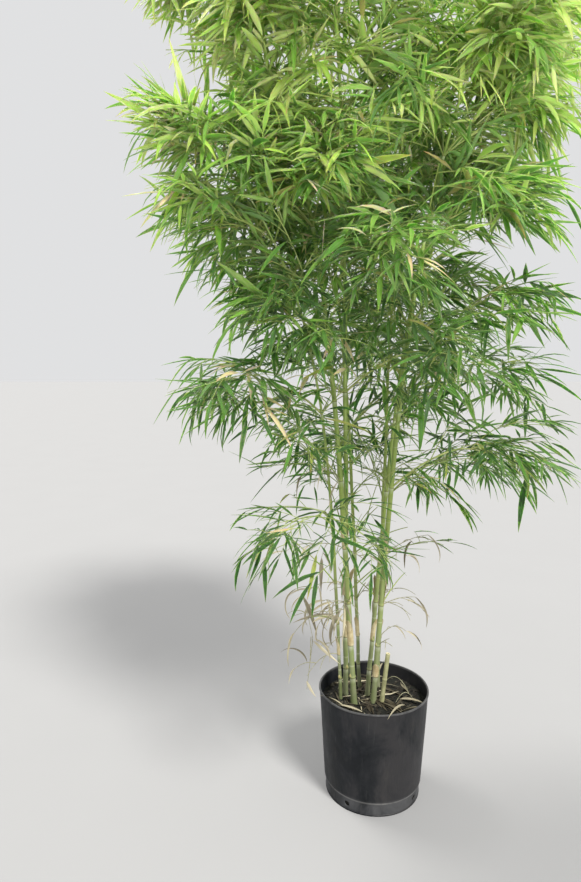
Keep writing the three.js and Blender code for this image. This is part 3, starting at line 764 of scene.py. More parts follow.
sheath_grids = np.stack([sheath_grid(*sheath) for sheath in SHEATHS])
paper = Finish("papery_sheath", {"Specular IOR Level": 0.3, "Roughness": 0.8})
rib = paper.fibre(70, 2)
age = paper.noise(45, 4, 0.6)
tan = paper.ramp(age, (0.3, (168, 150, 110)), (0.6, (206, 196, 158)), (0.8, (226, 220, 192)))
paper.wear(paper.coat(tan, (140, 118, 80), rib, 0.4, 0.7, 0.4), None, [(rib, 0.0004)])
place("dry_sheaths", skin(sheath_grids, crease=60), paper, "dry_cane")


def bud_grid(cane, joint, size):
    """One bud: a flattened drop against the cane, widest at a third of its height, pointed above."""
    line = cane_lines[cane["name"]]
    height = np.array([0.0, 0.12, 0.33, 0.6, 0.85, 1.0])
    swell = np.array([0.3, 0.8, 1.0, 0.72, 0.32, 0.04])
    share = joint_share(joint) + (0.0015 + height * size) / (cane["length"] * MM)
    way = heading_vector(np.array(cane["heading"] + (90 if joint % 2 else -90) + 25.0 * (joint - 3)))
    beside = np.cross(UP, way)
    angle = np.arange(8)[:, None] * np.pi / 4
    ring = way * np.cos(angle) * 0.22 + beside * np.sin(angle) * 0.34
    centre = line.at(share)[0] + way * (cane_radius(cane, share)[:, None] * 1.05)
    return centre[:, None] + ring * (swell * size)[:, None, None]


bud_grids = np.stack([bud_grid(cane, joint, 0.013 - 0.001 * joint) for cane in CANES for joint in (1, 2, 3)])
scale = Finish("bud_scale", {"Specular IOR Level": 0.45})
speck = scale.noise(400, 3, 0.6, stretch=(1, 1, 0.2))
scale.wear(scale.ramp(speck, (0.3, (140, 130, 84)), (0.7, (184, 180, 124))), None, [(speck, 0.0003)])
place("buds", skin(bud_grids, crease=60), scale, "cane")

# Boughs
# Two side branches on each cane, up to half way up it: thin, hard and green like the canes, with small joints
# of their own. A mass of leaves goes on from the tip of each, and the other masses grow from the canes.

LEVELS = [
    dict(name="low", joints=(5, 6), bough=0.150, leafy=0.50, shoots=1),
    dict(name="mid", joints=(7, 7), bough=0.110, leafy=0.62, shoots=2),
    dict(name="upper", joints=(8, 9), bough=0, leafy=0.78, shoots=5),
    dict(name="high", joints=(10, 10), bough=0, leafy=0.9, shoots=8),
]
TIP = dict(name="tip", leafy=0.92, shoots=14)
BOUGH_RADIUS = 0.0032
BOUGH_TIP_RADIUS = 0.0024
BOUGH_CLIMB = 0.95
BOUGH_WIDEST = 100
BOUGH_TURN = 10
LIMB_SAG = 0.3
STEM_LENGTH = 0.074
SIDE_STEM_LENGTH = 0.105
SIDE_STEM_CLIMB = 0.9
STEM_RADIUS = 0.0022
TIP_STEM_LENGTH = 0.190
CLEARANCE = 0.0003
LIMB_MARGIN = 0.002


def gaps(start, end, other_start, other_end):
    """The distances between straight pieces, from the nearest point on each, held between its two ends."""
    piece, other, apart = end - start, other_end - other_start, start - other_start
    piece_square, other_square = (piece**2).sum(-1), (other**2).sum(-1)
    both, on_piece, on_other = (piece * other).sum(-1), (piece * apart).sum(-1), (other * apart).sum(-1)
    spread = np.maximum(piece_square * other_square - both**2, 1e-18)
    s = np.clip((both * on_other - on_piece * other_square) / spread, 0, 1)
    t = np.clip((both * s + on_other) / other_square, 0, 1)
    s = np.clip((both * t - on_piece) / np.maximum(piece_square, 1e-18), 0, 1)
    return np.linalg.norm(apart + piece * s[..., None] - other * t[..., None], axis=-1)


class Links:
    """The straight links that limbs are made of, with their radii and the limb that owns each."""

    def __init__(self):
        self.start = self.end = np.zeros((0, 3))
        self.radius = np.zeros(0)
        self.owner = np.zeros(0, dtype="<U40")

    def add(self, owner, line, first, last, radius, count):
        """Adds a limb as a chain of count links from its share first to its share last."""
        points = line.at(np.linspace(first, last, count + 1))[0]
        self.start = np.concatenate([self.start, points[:-1]])
        self.end = np.concatenate([self.end, points[1:]])
        self.radius = np.concatenate([self.radius, np.broadcast_to(radius, count)])
        self.owner = np.concatenate([self.owner, np.full(count, owner)])

    def cleared_by(self, start, end, radius, owner):
        """Whether straight pieces of that radius keep clear of every link but the owner's."""
        others = self.owner != owner
        gap = gaps(start[:, None], end[:, None], self.start[others], self.end[others])
        return (gap > np.reshape(radius, (-1, 1)) + self.radius[others] + LIMB_MARGIN).all(axis=1)


def side_line(start, heading, length, climb):
    """A limb that leaves another one, climbing and then sagging towards its tip."""
    return Lines(start, heading_vector(np.array(heading, float)), length, length * climb, length * LIMB_SAG)


def onward(line, share, length):
    """A limb that goes on from a share of another one, a hair clear of it, in the same direction."""
    along = line.direction(share)
    start = line.point(share) + along * CLEARANCE
    flat = math.hypot(along[0], along[1])
    out = np.array([along[0], along[1], 0]) / flat
    return Lines(start, out, flat * length, along[2] * length, LIMB_SAG * length)


links = Links()
masses = []


def add_mass(level, cane, stem, first, radius, centre, seed):
    """Notes down a mass of leaves, and its stem as a limb that starts at the share first."""
    name = "foliage_" + cane["name"] + "_" + level["name"]
    mass = dict(name=name, stem=stem, radius=radius, centre=centre, seed=seed, upright=level is TIP)
    masses.append({**level, **mass})
    links.add(name, stem, first, 1, radius, 5)


for row, cane in enumerate(CANES):
    line = cane_lines[cane["name"]]
    radii = cane_radius(cane, np.linspace(0, CANE_END, 17)[:-1]) * CANE_RIDGE
    links.add(cane["name"], line, 0, CANE_END, radii, 16)
    stem = onward(line, CANE_END, TIP_STEM_LENGTH)
    add_mass(TIP, cane, stem, 0.05, float(cane_radius(cane, CANE_END)), stem.point(0.7), 97 * (row + 1) + 13)


def open_side(cane, start, bough_length):
    """The bough and the stem on the heading that clears every limb and has the most room round it."""
    best = None
    for offset in range(-BOUGH_WIDEST, BOUGH_WIDEST + 1, BOUGH_TURN):
        heading = cane["heading"] + offset
        if bough_length:
            bough = side_line(start, heading, bough_length, BOUGH_CLIMB)
            stem = onward(bough, 1, STEM_LENGTH)
        else:
            bough, stem = None, side_line(start, heading, SIDE_STEM_LENGTH, SIDE_STEM_CLIMB)
        way = np.concatenate([(bough or stem).at(np.array([0, 0.5, 1]))[0], [stem.point(1.0)]])
        centre = stem.point(1.2)
        room = min(np.linalg.norm(mass["centre"] - centre) for mass in masses)
        clear = links.cleared_by(way[:-1], way[1:], BOUGH_RADIUS, cane["name"]).all()
        if clear and (best is None or room > best[3]):
            best = (bough, stem, centre, room)
    return best[:3]


bough_lines, bough_names = [], []
for row, cane in enumerate(CANES):
    for step, level in enumerate(LEVELS):
        share = joint_share(level["joints"][row % 2])
        bough, stem, centre = open_side(cane, cane_lines[cane["name"]].point(share), level["bough"])
        thick = BOUGH_TIP_RADIUS
        if bough:
            bough_names.append("bough_" + cane["name"] + "_" + level["name"])
            bough_lines.append(bough)
            links.add(bough_names[-1], bough, 0.04, 1, BOUGH_RADIUS, 5)
        else:
            thick = min(STEM_RADIUS, 0.7 * float(cane_radius(cane, share)))
        add_mass(level, cane, stem, 0.1, thick, centre, 97 * (row + 1) + 31 * step)


def gathered(lines):
    """Several lines of one power as one stack of lines."""
    return Lines(*(np.concatenate([getattr(line, part) for line in lines]) for part in LINE_PARTS))


BOUGH_ROWS = 31
BOUGH_JOINTS = np.array([0.1, 0.37, 0.63, 0.9])

bough_share = np.linspace(0, 1, BOUGH_ROWS)
bough_knots = bump(np.abs(bough_share[:, None] - BOUGH_JOINTS), 0, 0.014).sum(axis=1)
bough_taper = BOUGH_RADIUS + (BOUGH_TIP_RADIUS - BOUGH_RADIUS) * bough_share
bough_grids = tubes(gathered(bough_lines), bough_share, bough_taper * (0.86 + 0.26 * bough_knots), 10)

branch = Finish("living_branch", {"Specular IOR Level": 0.5})
stripe = branch.noise(240, 3, 0.6, stretch=(1, 1, 0.15))
blotch = branch.noise(30, 4, 0.6)
tone = branch.ramp(blotch, (0.3, (134, 150, 78)), (0.55, (158, 172, 96)), (0.8, (180, 186, 122)))
tone = branch.coat(tone, (190, 192, 136), stripe, 0.4, 0.7, 0.3)
tone = branch.coat(tone, (202, 198, 150), branch.number("knot"), 0.3, 1.0, 0.6)
branch.wear(tone, branch.span(blotch, 0, 1, 0.4, 0.6), [(stripe, 0.0002)])
place("boughs", skin(bough_grids, knot=bough_knots[None, :, None]), branch, "bough", *bough_names)

# Twigs
# Each mass's stem goes on from its bough, its cane's tip or a joint and fans out in shoots, green and wiry.
# A shoot carries twigs to either side by turns and one at its end, and each of these forks once more.

SHOOT_FAN = 76
SHOOT_LENGTH = 0.150
SHOOT_SAG = 0.3
SHOOT_RADIUS = 0.0017
SHOOT_CLIMB = (-12, 58)
SHOOT_TRIES = 60
BLADE = dict(length=0.192, width=0.028, shoulder=0.36, camber=0.05, fork=40, droop=0.3)
BLADES_ON_SHOOT = 5
FEWEST_ON_SHOOT = 3
BLADES_IN_MASS = 15
BLADES_APART = 0.014
REACH = 0.270  # a mass keeps within this distance of its centre
CELL_MARGIN = 0.0015  # and this far from the plane halfway to each other mass's centre

centres = np.array([mass["centre"] for mass in masses])


def seeded(seed):
    """Numbers from 0 to 1 drawn from a seed, by a linear congruence."""
    while True:
        seed = (seed * 1664525 + 1013904223) % 4294967296
        yield seed / 4294967296


def turned(vector, axis, degrees):
    """A vector turned about a unit axis."""
    cos, sin = math.cos(math.radians(degrees)), math.sin(math.radians(degrees))
    return vector * cos + np.cross(axis, vector) * sin + axis * (axis @ vector) * (1 - cos)


def in_own_space(points, centre):
    """Whether points are near a mass's centre, and nearer to it than to any other mass's centre."""
    others = centres[(centres != centre).any(axis=1)]
    square = ((points - centre) ** 2).sum(-1)
    lead = ((points[:, None] - others) ** 2).sum(-1) - square[:, None]
    lead = lead / (2 * np.linalg.norm(others - centre, axis=-1))
    return (square < REACH**2).all() and (lead > CELL_MARGIN).all()


def too_near(piece, others, gap):
    """Whether a straight piece comes nearer to any of the others than the gap."""
    return bool(others) and (gaps(*piece, *np.array(others).swapaxes(0, 1)) < gap).any()


def on_rod(line, share):
    """A point on the two straight lengths that a stem or a shoot is made of."""
    first, middle, last = line.at(np.array([0, 0.5, 1.0]))[0]
    return first + (middle - first) * share * 2 if share < 0.5 else middle + (last - middle) * (share * 2 - 1)


def grow_blade(draw, mass, shoot, share, fork, others, rods):
    """The place of one big blade of the solid mass: its root, direction and length, and its rib."""
    """The place of one big blade of the solid mass: its root, direction and length, and its rib."""
    root = on_rod(shoot, share)
    direction = turned(shoot.direction(share), UP, fork)
    direction = unit(direction - UP * BLADE["droop"] * (0.3 + 1.1 * draw()))
    length = BLADE["length"] * (0.82 + 0.28 * draw())
    width = BLADE["width"] * (0.86 + 0.24 * draw())
    across = turned(unit(np.cross(direction, UP)), direction, (draw() * 2 - 1) * 42)
    lift = np.cross(across, direction) * BLADE["camber"] * length
    shoulder, tip = root + direction * BLADE["shoulder"] * length + lift, root + direction * length
    points = np.array([shoulder, tip, shoulder - across * width / 2, shoulder + across * width / 2])
    rib = (root + (tip - root) * 0.12, tip)
    radius = np.array([0.42, 0.5]) * width
    starts, ends = np.array([root, shoulder]), np.array([shoulder, tip])
    clear = links.cleared_by(starts, ends, radius, mass["name"]).all()
    if not clear or not in_own_space(points, mass["centre"]):
        return None
    if too_near(rib, others, BLADES_APART) or too_near(rib, rods, BLADES_APART / 2):
        return None
    return rib, (root, direction, length)


def grow_mass(mass):
    """The shoots of a mass and the places of its blades, by the rule and the seed of the solid."""
    draw = seeded(mass["seed"]).__next__
    shoots, places, ribs, rods = [], [], [], []
    for i in range(SHOOT_TRIES):
        if len(ribs) >= BLADES_IN_MASS:
            break
        share = 0.2 + 0.78 * ((i * 0.618) % 1) if mass["upright"] else 0.55 + 0.42 * draw()
        azimuth = 360 * draw() if mass["upright"] else (1 if i % 2 else -1) * SHOOT_FAN * draw() ** 0.7
        climb = math.radians(SHOOT_CLIMB[0] + (SHOOT_CLIMB[1] - SHOOT_CLIMB[0]) * draw())
        length = SHOOT_LENGTH * (0.75 + 0.4 * draw())
        root = on_rod(mass["stem"], share)
        ahead = mass["stem"].direction(share) * (1, 1, 0)
        out = turned(unit(ahead), UP, azimuth)
        run, rise = length * math.cos(climb), length * math.sin(climb)
        shoot = Lines(root, out, run, rise, length * SHOOT_SAG)
        middle, tip = shoot.at(np.array([0.5, 1.0]))[0]
        rod = [(root + (middle - root) * 0.2, middle), (middle, tip)]
        starts, ends = np.array(rod).swapaxes(0, 1)
        if not in_own_space(np.array([middle, tip]), mass["centre"]):
            continue
        if not links.cleared_by(starts, ends, SHOOT_RADIUS, mass["name"]).all():
            continue
        if any(too_near(piece, ribs, BLADES_APART / 2) for piece in rod):
            continue
        grown = []
        for j in range(BLADES_ON_SHOOT):
            if j == 0:
                on, fork = 0.985, (draw() * 2 - 1) * 8
            else:
                on = 1 - 0.66 * j / (BLADES_ON_SHOOT - 1)
                fork = (1 if j % 2 else -1) * (BLADE["fork"] + (draw() * 2 - 1) * 10)
            blade = grow_blade(draw, mass, shoot, on, fork, ribs + [rib for rib, _ in grown], rods)
            if blade:
                grown.append(blade)
        if len(grown) >= FEWEST_ON_SHOOT:
            shoots.append(shoot)
            places += [place for _, place in grown]
            ribs += [rib for rib, _ in grown]
            rods += rod
    root, direction, length = (np.array(part) for part in zip(*places))
    return gathered(shoots), root, direction, length


# In place of each blade a twig runs most of its length, and finer twigs leave it to either side. Shoots that
# are too thin for the solid fill in between, on the stems, on the boughs and on twigs at the other joints.

TWIG_SHARE = 0.56  # of a blade's length
TWIG_CAMBER = 0.10
SHOOT_SPREAD = 0.42  # of a shoot's length carries leaves
TWIG_SPREAD = 0.74  # of a twig's
FINE_SHARES = np.array([0.28, 0.56])
FINE_FORK = 40
FINE_LENGTH = 0.068
SIDE_LENGTH = 0.085
FILL_FAN = 80
FILL_SAG = 0.22
FILL_SHARES = np.array([0.30, 0.56, 0.80])
BOUGH_SHOOTS = 3
STRAYS = {3: (1, 1), 4: (1, 3), 5: (2, 3), 6: (2, 3), 7: (3, 4), 8: (3, 4), 9: (4, 5), 10: (6, 5)}
STRAY_LENGTHS = (0.08, 0.24)
STRAY_TRIES = 12
STRAY_FORK = 80
STRAY_RADIUS = 0.0021
TWIG_ROOM = 0.001  # the radius that a twig is tested with
BRANCH_ROOM = 0.003  # the same for a branch or a leaf
SHOOT_FOOT, SHOOT_LOSS = 0.0014, 0.0006  # radius at the foot, and how much of it is lost by the tip
TWIG_FOOT, TWIG_LOSS = 0.0009, 0.0004
BOX_MARGIN = 0.008

low_corner = np.array(cad_low) - BOX_MARGIN
high_corner = np.array(cad_high) + BOX_MARGIN


def from_centre(points):
    """How far points are from the nearest mass's centre."""
    return np.linalg.norm(points[..., None, :] - centres, axis=-1).min(axis=-1)


def within(points):
    """Whether all of each row's points are within a mass's reach and inside the plant's box."""
    inside = (points > low_corner).all(-1) & (points < high_corner).all(-1)
    return (inside & (from_centre(points) < REACH)).all(-1)


def heading_of(vectors):
    """The heading of vectors, in degrees."""
    return np.degrees(np.arctan2(vectors[..., 1], vectors[..., 0]))


def climb_of(vectors):
    """The climb of vectors, in degrees."""
    return np.degrees(np.arctan2(vectors[..., 2], np.hypot(vectors[..., 0], vectors[..., 1])))


def leaving(start, heading, climb, length):
    """Shoots or twigs that leave their starts at a heading and a climb, and sag a little."""
    climb = np.radians(climb)
    run, rise = length * np.cos(climb), length * np.sin(climb)
    return Lines(start, heading_vector(heading), run, rise, length * FILL_SAG)


def kept(lines, owner):
    """The lines that stay in reach and, from a fifth of their length on, clear of all limbs but the owner."""
    points = lines.at(np.array([0.2, 0.5, 1.0]))
    clear = links.cleared_by(points[:, 0], points[:, 1], TWIG_ROOM, owner)
    clear &= links.cleared_by(points[:, 1], points[:, 2], TWIG_ROOM, owner) & within(points)
    return Lines(*(getattr(lines, part)[clear] for part in LINE_PARTS))


def forked(lines, shares, fork, length, random):
    """Finer twigs that leave lines at shares of each, to either side by turns."""
    count, each = len(lines.start), len(shares)
    share = shares + random.uniform(-0.08, 0.08, (count, each))
    along = lines.toward(share).reshape(-1, 3)
    hand = np.repeat(random.choice([-1, 1], count), each)
    hand = hand * np.tile(np.where(np.arange(each) % 2, 1, -1), count)
    heading = heading_of(along) + hand * (fork + random.uniform(-14, 14, count * each))
    climb = climb_of(along) * 0.6 + random.uniform(-16, 30, count * each)
    length = length * random.uniform(0.6, 1.2, count * each)
    return leaving(lines.at(share).reshape(-1, 3), heading, climb, length)


def filled(limb, upright, count, owner, random):
    """Thin shoots that fan out from a limb, to every side of an upright one, and their side twigs."""
    turn = 360 * random.random(count)
    if not upright:
        turn = np.where(np.arange(count) % 2, 1, -1) * FILL_FAN * random.random(count) ** 0.7
    share = 0.16 + 0.82 * ((np.arange(count) * 0.618) % 1)
    heading = heading_of(limb.toward(share)[0]) + turn
    length = SHOOT_LENGTH * random.uniform(0.45, 1.3, count)
    filling = kept(leaving(limb.at(share)[0], heading, random.uniform(-12, 68, count), length), owner)
    return filling, kept(forked(filling, FILL_SHARES, FINE_FORK, SIDE_LENGTH, random), owner)


sprays = []  # lines that carry leaves, how much of each does, their owner and how leafy they are
shoot_lines, twig_lines = [], []
for number, mass in enumerate(masses):
    random = np.random.default_rng(500 + number)
    name, leafy = mass["name"], mass["leafy"]
    shoots, root, direction, length = grow_mass(mass)
    heading, climb, length = heading_of(direction), np.radians(climb_of(direction)), length * TWIG_SHARE
    rise = length * (np.sin(climb) + TWIG_CAMBER)
    twigs = Lines(root, heading_vector(heading), length * np.cos(climb), rise, length * TWIG_CAMBER)
    fine = kept(forked(twigs, FINE_SHARES, FINE_FORK, FINE_LENGTH, random), name)
    filling, side = filled(mass["stem"], mass["upright"], mass["shoots"], name, random)
    shoot_lines += [shoots, filling]
    twig_lines += [twigs, fine, side]
    sprays += [(lines, TWIG_SPREAD, name, leafy) for lines in (twigs, fine, side)]
    sprays += [(lines, SHOOT_SPREAD, name, leafy) for lines in (shoots, filling)]


def stray(row, joint, branch):
    """A thin branch at a joint of a cane, on the first heading tried that clears the other limbs."""
    cane = CANES[row]
    start = cane_lines[cane["name"]].point(joint_share(joint))
    random = np.random.default_rng(900 + 20 * row + joint + 400 * branch)
    length = random.uniform(*STRAY_LENGTHS) * (0.6 if joint == 3 else 1)
    climb = SIDE_STEM_CLIMB * random.uniform(0.6, 2.0 if joint == 10 else 1.5)
    for turn in random.uniform(-75, 75, STRAY_TRIES):
        side = STRAY_FORK if (joint + branch) % 2 else -STRAY_FORK
        stem = side_line(start, cane["heading"] + side + turn, length, climb)
        way = stem.at(np.array([0.05, 0.5, 1.0]))[0]
        if links.cleared_by(way[:-1], way[1:], BRANCH_ROOM, cane["name"]).all():
            return stem
    return None


# What else carries thin shoots: each bough, and thin branches at each joint, one fewer where a mass grows.
carriers = [(line, name, BOUGH_SHOOTS, 0.6) for line, name in zip(bough_lines, bough_names)]
stems = [mass["stem"] for mass in masses]
stem_radii = [mass["radius"] for mass in masses]
for row, cane in enumerate(CANES):
    used = [level["joints"][row % 2] for level in LEVELS]
    for joint, (branches, count) in STRAYS.items():
        thick = min(STRAY_RADIUS, 0.55 * float(cane_radius(cane, joint_share(joint))))
        for branch in range(branches - (joint in used)):
            stem = stray(row, joint, branch)
            if stem is None:
                continue
            name = "stray_" + cane["name"] + str(joint) + "_" + str(branch)
            links.add(name, stem, 0.05, 1, 0.002, 4)
            stems.append(stem)
            stem_radii.append(thick)
            carriers.append((stem, name, count, np.interp(joint, [3, 7, 10], [0.55, 0.7, 0.9])))
for number, (limb, owner, count, leafy) in enumerate(carriers):
    filling, side = filled(limb, False, count, owner, np.random.default_rng(2000 + number))
    shoot_lines.append(filling)
    twig_lines.append(side)
    sprays += [(filling, SHOOT_SPREAD, owner, leafy), (side, TWIG_SPREAD, owner, leafy)]

wiry = Finish("green_twig", {"Specular IOR Level": 0.45, "Roughness": 0.5})
blotch = wiry.noise(14, 4, 0.6)
speck = wiry.noise(260, 3, 0.6)
tone = wiry.ramp(blotch, (0.3, (124, 146, 70)), (0.55, (152, 168, 92)), (0.8, (180, 180, 118)))
wiry.wear(wiry.coat(tone, (112, 120, 62), speck, 0.4, 0.7, 0.3), None, [(speck, 0.0001)])

stem_share, shoot_share, twig_share = np.linspace(-0.01, 1, 9), np.linspace(0, 1, 6), np.linspace(0, 1, 4)
stem_taper = np.array(stem_radii)[:, None] * np.interp(stem_share, [0, 1], [0.95, 0.45])
stem_mesh = skin(tubes(gathered(stems), stem_share, stem_taper, 8))
shoot_mesh = skin(tubes(gathered(shoot_lines), shoot_share, SHOOT_FOOT - SHOOT_LOSS * shoot_share, 6))
twig_mesh = skin(tubes(gathered(twig_lines), twig_share, TWIG_FOOT - TWIG_LOSS * twig_share, 5))
place("leaf_stems", stem_mesh, wiry, "foliage", *(mass["name"] for mass in masses))
place("shoots", shoot_mesh, wiry, "foliage")
place("twigs", twig_mesh, wiry, "foliage")

# Leaves
# Narrow pointed blades in two ranks along each twig, one more at its end. Each is folded along its pale
# midrib and arches over. They run from deep green low and inside the clump to yellow-green high and outside,
# partly younger growth and partly painted light and shade; a few have dried to straw.

LEAF_LENGTH = 0.102
LEAF_SLIMNESS = 0.116
LEAF_MARGIN = 0.012  # past the box of the solids
LEAF_PLACES = 6
LEAF_FORK = 42
LEAF_DROOP = 0.16
FORK_STRAY = 16  # how far a leaf's fork, pitch, roll and twist stray, in degrees
PITCH_STRAY = 24
ROLL_STRAY = 46
TWIST_STRAY = 40
FOLDS = (8, 26)
SIZES = (0.66, 1.22)
SPEAR_SHARE = 0.04  # of the leaves are young and still rolled
LONG_SHARE = 0.03  # are longer by this much
LONG_SIZE = 1.45
CLUMP_AXIS = (-0.03, 0.005)
INSIDE_OPEN = (0.05, 0.20)  # how far from the clump's middle the leaves are fewest, and no longer fewer
OUTER_THIN = (0.10, 0.25)  # how far from a mass's centre the leaves begin to thin out, and are fewest


def leaves_kept(points):
    """The share of leaves kept inside the clump: fewest at its axis and low down, all of them further out."""
    inmost = np.interp(points[..., 2], [1.2, 1.9], [0.35, 0.75])
    from_axis = np.hypot(points[..., 0] - CLUMP_AXIS[0], points[..., 1] - CLUMP_AXIS[1])
    return inmost + (1 - inmost) * np.interp(from_axis, INSIDE_OPEN, [0, 1])


def spray_leaves(spray, spread, owner, leafy, random):
    """The leaves of a stack of twigs that have room: the root and the values that shape each blade."""
    order = np.arange(LEAF_PLACES)
    each = (len(spray.start), 1)
    share = np.where(order == 0, 0.985, 1 - spread * order / (LEAF_PLACES - 1)) * np.ones(each)
    shape = share.shape
    side = np.where(order % 2, 1, -1) * np.where(random.random(each) < 0.5, 1, -1)
    along = spray.toward(share)
    fork = np.where(order == 0, 0, side * LEAF_FORK) + random.uniform(-FORK_STRAY, FORK_STRAY, shape)
    heading = heading_of(along) + fork
    along[..., 2] -= LEAF_DROOP * random.uniform(0.1, 1.5, shape)
    pitch = climb_of(along) + random.uniform(-PITCH_STRAY, PITCH_STRAY, shape)
    size = np.interp(order, [0, 1, 5], [1.0, 1.05, 0.72]) * random.uniform(*SIZES, shape)
    size = size * np.where(random.random(shape) < LONG_SHARE, LONG_SIZE, 1)
    light = random.random(each) * np.ones(shape)
    joined = spray.at(share)
    full = np.clip(random.normal(1.0, 0.22, each), 0.3, 1.1)
    full = full * np.interp(from_centre(joined), OUTER_THIN, [1, 0.35])
    present = random.random(shape) < np.where(order == 0, 1, leafy) * leaves_kept(joined) * full
    droop = random.gamma(1.4, 13, shape)
    length = size * LEAF_LENGTH * np.interp(joined[..., 2], [0.6, 1.2, 1.9], [0.82, 0.95, 1.06])
    roll = random.uniform(-ROLL_STRAY, ROLL_STRAY, shape)
    twist = random.uniform(-TWIST_STRAY, TWIST_STRAY, shape)
    fold, chance = random.uniform(*FOLDS, shape), random.random(shape)
    values = (heading, pitch, length, droop, light, roll, twist, fold, chance)
    values = np.stack([value[present] for value in values])

    heading, pitch, length, droop = values[:4]
    root, reach_pitch = joined[present], np.radians(pitch - 0.45 * droop)
    way = heading_vector(heading) * np.cos(reach_pitch)[:, None] + UP * np.sin(reach_pitch)[:, None]
    tip = root + way * length[:, None]
    fits = links.cleared_by(root + (tip - root) * 0.15, tip, BRANCH_ROOM, owner)
    fits &= within(np.stack([(root + tip) / 2, tip], axis=1))
    return np.concatenate([root, values.T], axis=-1)[fits]


leaves = [spray_leaves(*spray, np.random.default_rng(7000 + number)) for number, spray in enumerate(sprays)]
leaves = np.concatenate(leaves)
root = leaves[:, :3]
heading, pitch, length, droop, light, roll, twist, fold, chance = leaves[:, 3:].T
spear = chance < SPEAR_SHARE
width = length * LEAF_SLIMNESS * np.where(spear, 0.3, 1.0)
pitch = np.where(spear, pitch + 35, pitch)
droop = np.where(spear, droop * 0.2, droop)
leaf_grids = blades(root, heading, pitch, length, width, droop, roll, twist, fold)
inside = (leaf_grids > np.array(cad_low) - LEAF_MARGIN) & (leaf_grids < np.array(cad_high) + LEAF_MARGIN)
inside = inside.all(axis=(1, 2, 3))


def leaf_finish(name, first, second, under, tip):
    """A leaf's finish: two clouded tones, fine veins, a pale midrib and underside, and a tip of its own."""
    glow = {"Subsurface Weight": 0.8, "Subsurface Radius": (0.5, 1.0, 0.2), "Subsurface Scale": 0.002}
    finish = Finish(name, {"Specular IOR Level": 0.4, **glow})
    laid = finish.node("TexCoord", {}, "UV")
    round_it, reached = (finish.node("SeparateXYZ", {"Vector": laid}, axis) for axis in "XY")
    vein = finish.sum("SINE", finish.times(round_it, 2 * math.pi * 28))
    midrib = finish.sum("ABSOLUTE", finish.sum("SUBTRACT", round_it, 0.25))
    colour = finish.mix(finish.span(finish.noise(11, 3, 0.55), 0.35, 0.65), first, second)
    colour = finish.coat(colour, under, vein, -1, 1, 0.22)
    colour = finish.coat(colour, under, midrib, 0.035, 0.008, 0.6)
    colour = finish.coat(colour, under, round_it, 0.49, 0.51, 0.55)
    colour = finish.coat(colour, tip, reached, 0.80, 1.0, 0.7)
    finish.wear(colour, finish.span(vein, -1, 1, 0.42, 0.55), [(vein, 0.00012)])
    return finish


# Kind, two tones, underside and midrib, and tip. The green ones run from the darkest, dealt low and inside
# the clump, to the palest, dealt high and outside: partly older to younger leaves, partly painted shade to
# painted light.
LEAF_KINDS = [
    ("leaves_deep", (40, 70, 28), (53, 85, 35), (82, 107, 67), (86, 110, 50)),
    ("leaves_mid", (58, 97, 34), (77, 120, 42), (104, 136, 76), (110, 138, 56)),
    ("leaves_green", (84, 127, 41), (105, 149, 51), (131, 162, 87), (136, 162, 68)),
    ("leaves_fresh", (124, 166, 54), (148, 188, 68), (166, 194, 108), (168, 188, 84)),
    ("leaves_pale", (154, 188, 78), (178, 206, 102), (190, 212, 138), (198, 206, 122)),
    ("leaves_straw", (192, 178, 124), (214, 202, 156), (220, 212, 176), (168, 132, 84)),
    ("leaves_rusty", (120, 144, 62), (150, 150, 76), (170, 160, 100), (186, 112, 70)),
]
PALER_FROM = (0.13, 0.34, 0.56, 0.78)  # the share of all leaves that rank darker than each next green kind
STRAW, RUSTY = 5, 6
STRAW_SHARE, RUSTY_SHARE = 0.02, 0.03

# Leaves rank paler higher up, further from the pot's axis and by a random draw for each spray: partly younger
# growth, partly painted light on the top and outside of the crown and painted shade low and inside it.
youth_and_painted_light = 1.2 * (root[:, 2] - 0.7) / 1.4 + 0.20 * np.hypot(root[:, 0], root[:, 1]) / 0.5 + 0.55 * light
kind = np.searchsorted(PALER_FROM, np.argsort(np.argsort(youth_and_painted_light)) / len(youth_and_painted_light), side="right")
kind = np.where(chance > 1 - RUSTY_SHARE, RUSTY, kind)
kind = np.where((light * 97) % 1 < STRAW_SHARE, STRAW, kind)
for number, (name, *tones) in enumerate(LEAF_KINDS):
    mesh = skin(leaf_grids[inside & (kind == number)], np.array(BLADE_OUTLINE)[:, 0], crease=70)
    place(name, mesh, leaf_finish(name, *tones), "foliage")

# Dead twigs
# Spent side twigs on the lower joints, bare and grey, that arch out and hang. A few curled cream leaves are
# left on them.

# Cane, joint, heading, length, climb in degrees, and sag as a share of the length.
DEAD_TWIGS = [
    ("left", 3, 196, 0.092, 24, 0.95), ("left", 3, 236, 0.060, 30, 0.80),
    ("left", 3, 172, 0.070, 20, 0.40), ("left", 4, 345, 0.100, -15, 0.40),
    ("thin_left", 4, 204, 0.108, 25, 0.60), ("back_left", 3, 350, 0.075, 58, 0.05),
    ("left", 4, 214, 0.165, 30, 0.35), ("front", 3, 262, 0.120, 24, 0.70),
    ("front", 2, 224, 0.085, 20, 0.5), ("thin_left", 3, 182, 0.160, 40, 0.50),
    ("thin_left", 2, 210, 0.120, 30, 0.80), ("right", 3, 352, 0.110, 34, 0.30),
    ("right", 2, 300, 0.070, 46, 0.15), ("back_right", 3, 40, 0.130, 30, 0.40),
    ("back_right", 3, 330, 0.110, 20, 0.5), ("back_left", 3, 120, 0.140, 30, 0.45),
    ("back", 3, 80, 0.130, 25, 0.55), ("back", 2, 30, 0.090, 40, 0.4),
    ("right", 4, 20, 0.150, 30, 0.25), ("left", 5, 240, 0.140, 38, 0.25),
    ("back_right", 4, 300, 0.12, 35, 0.3),
]
names, joints, *values = zip(*DEAD_TWIGS)
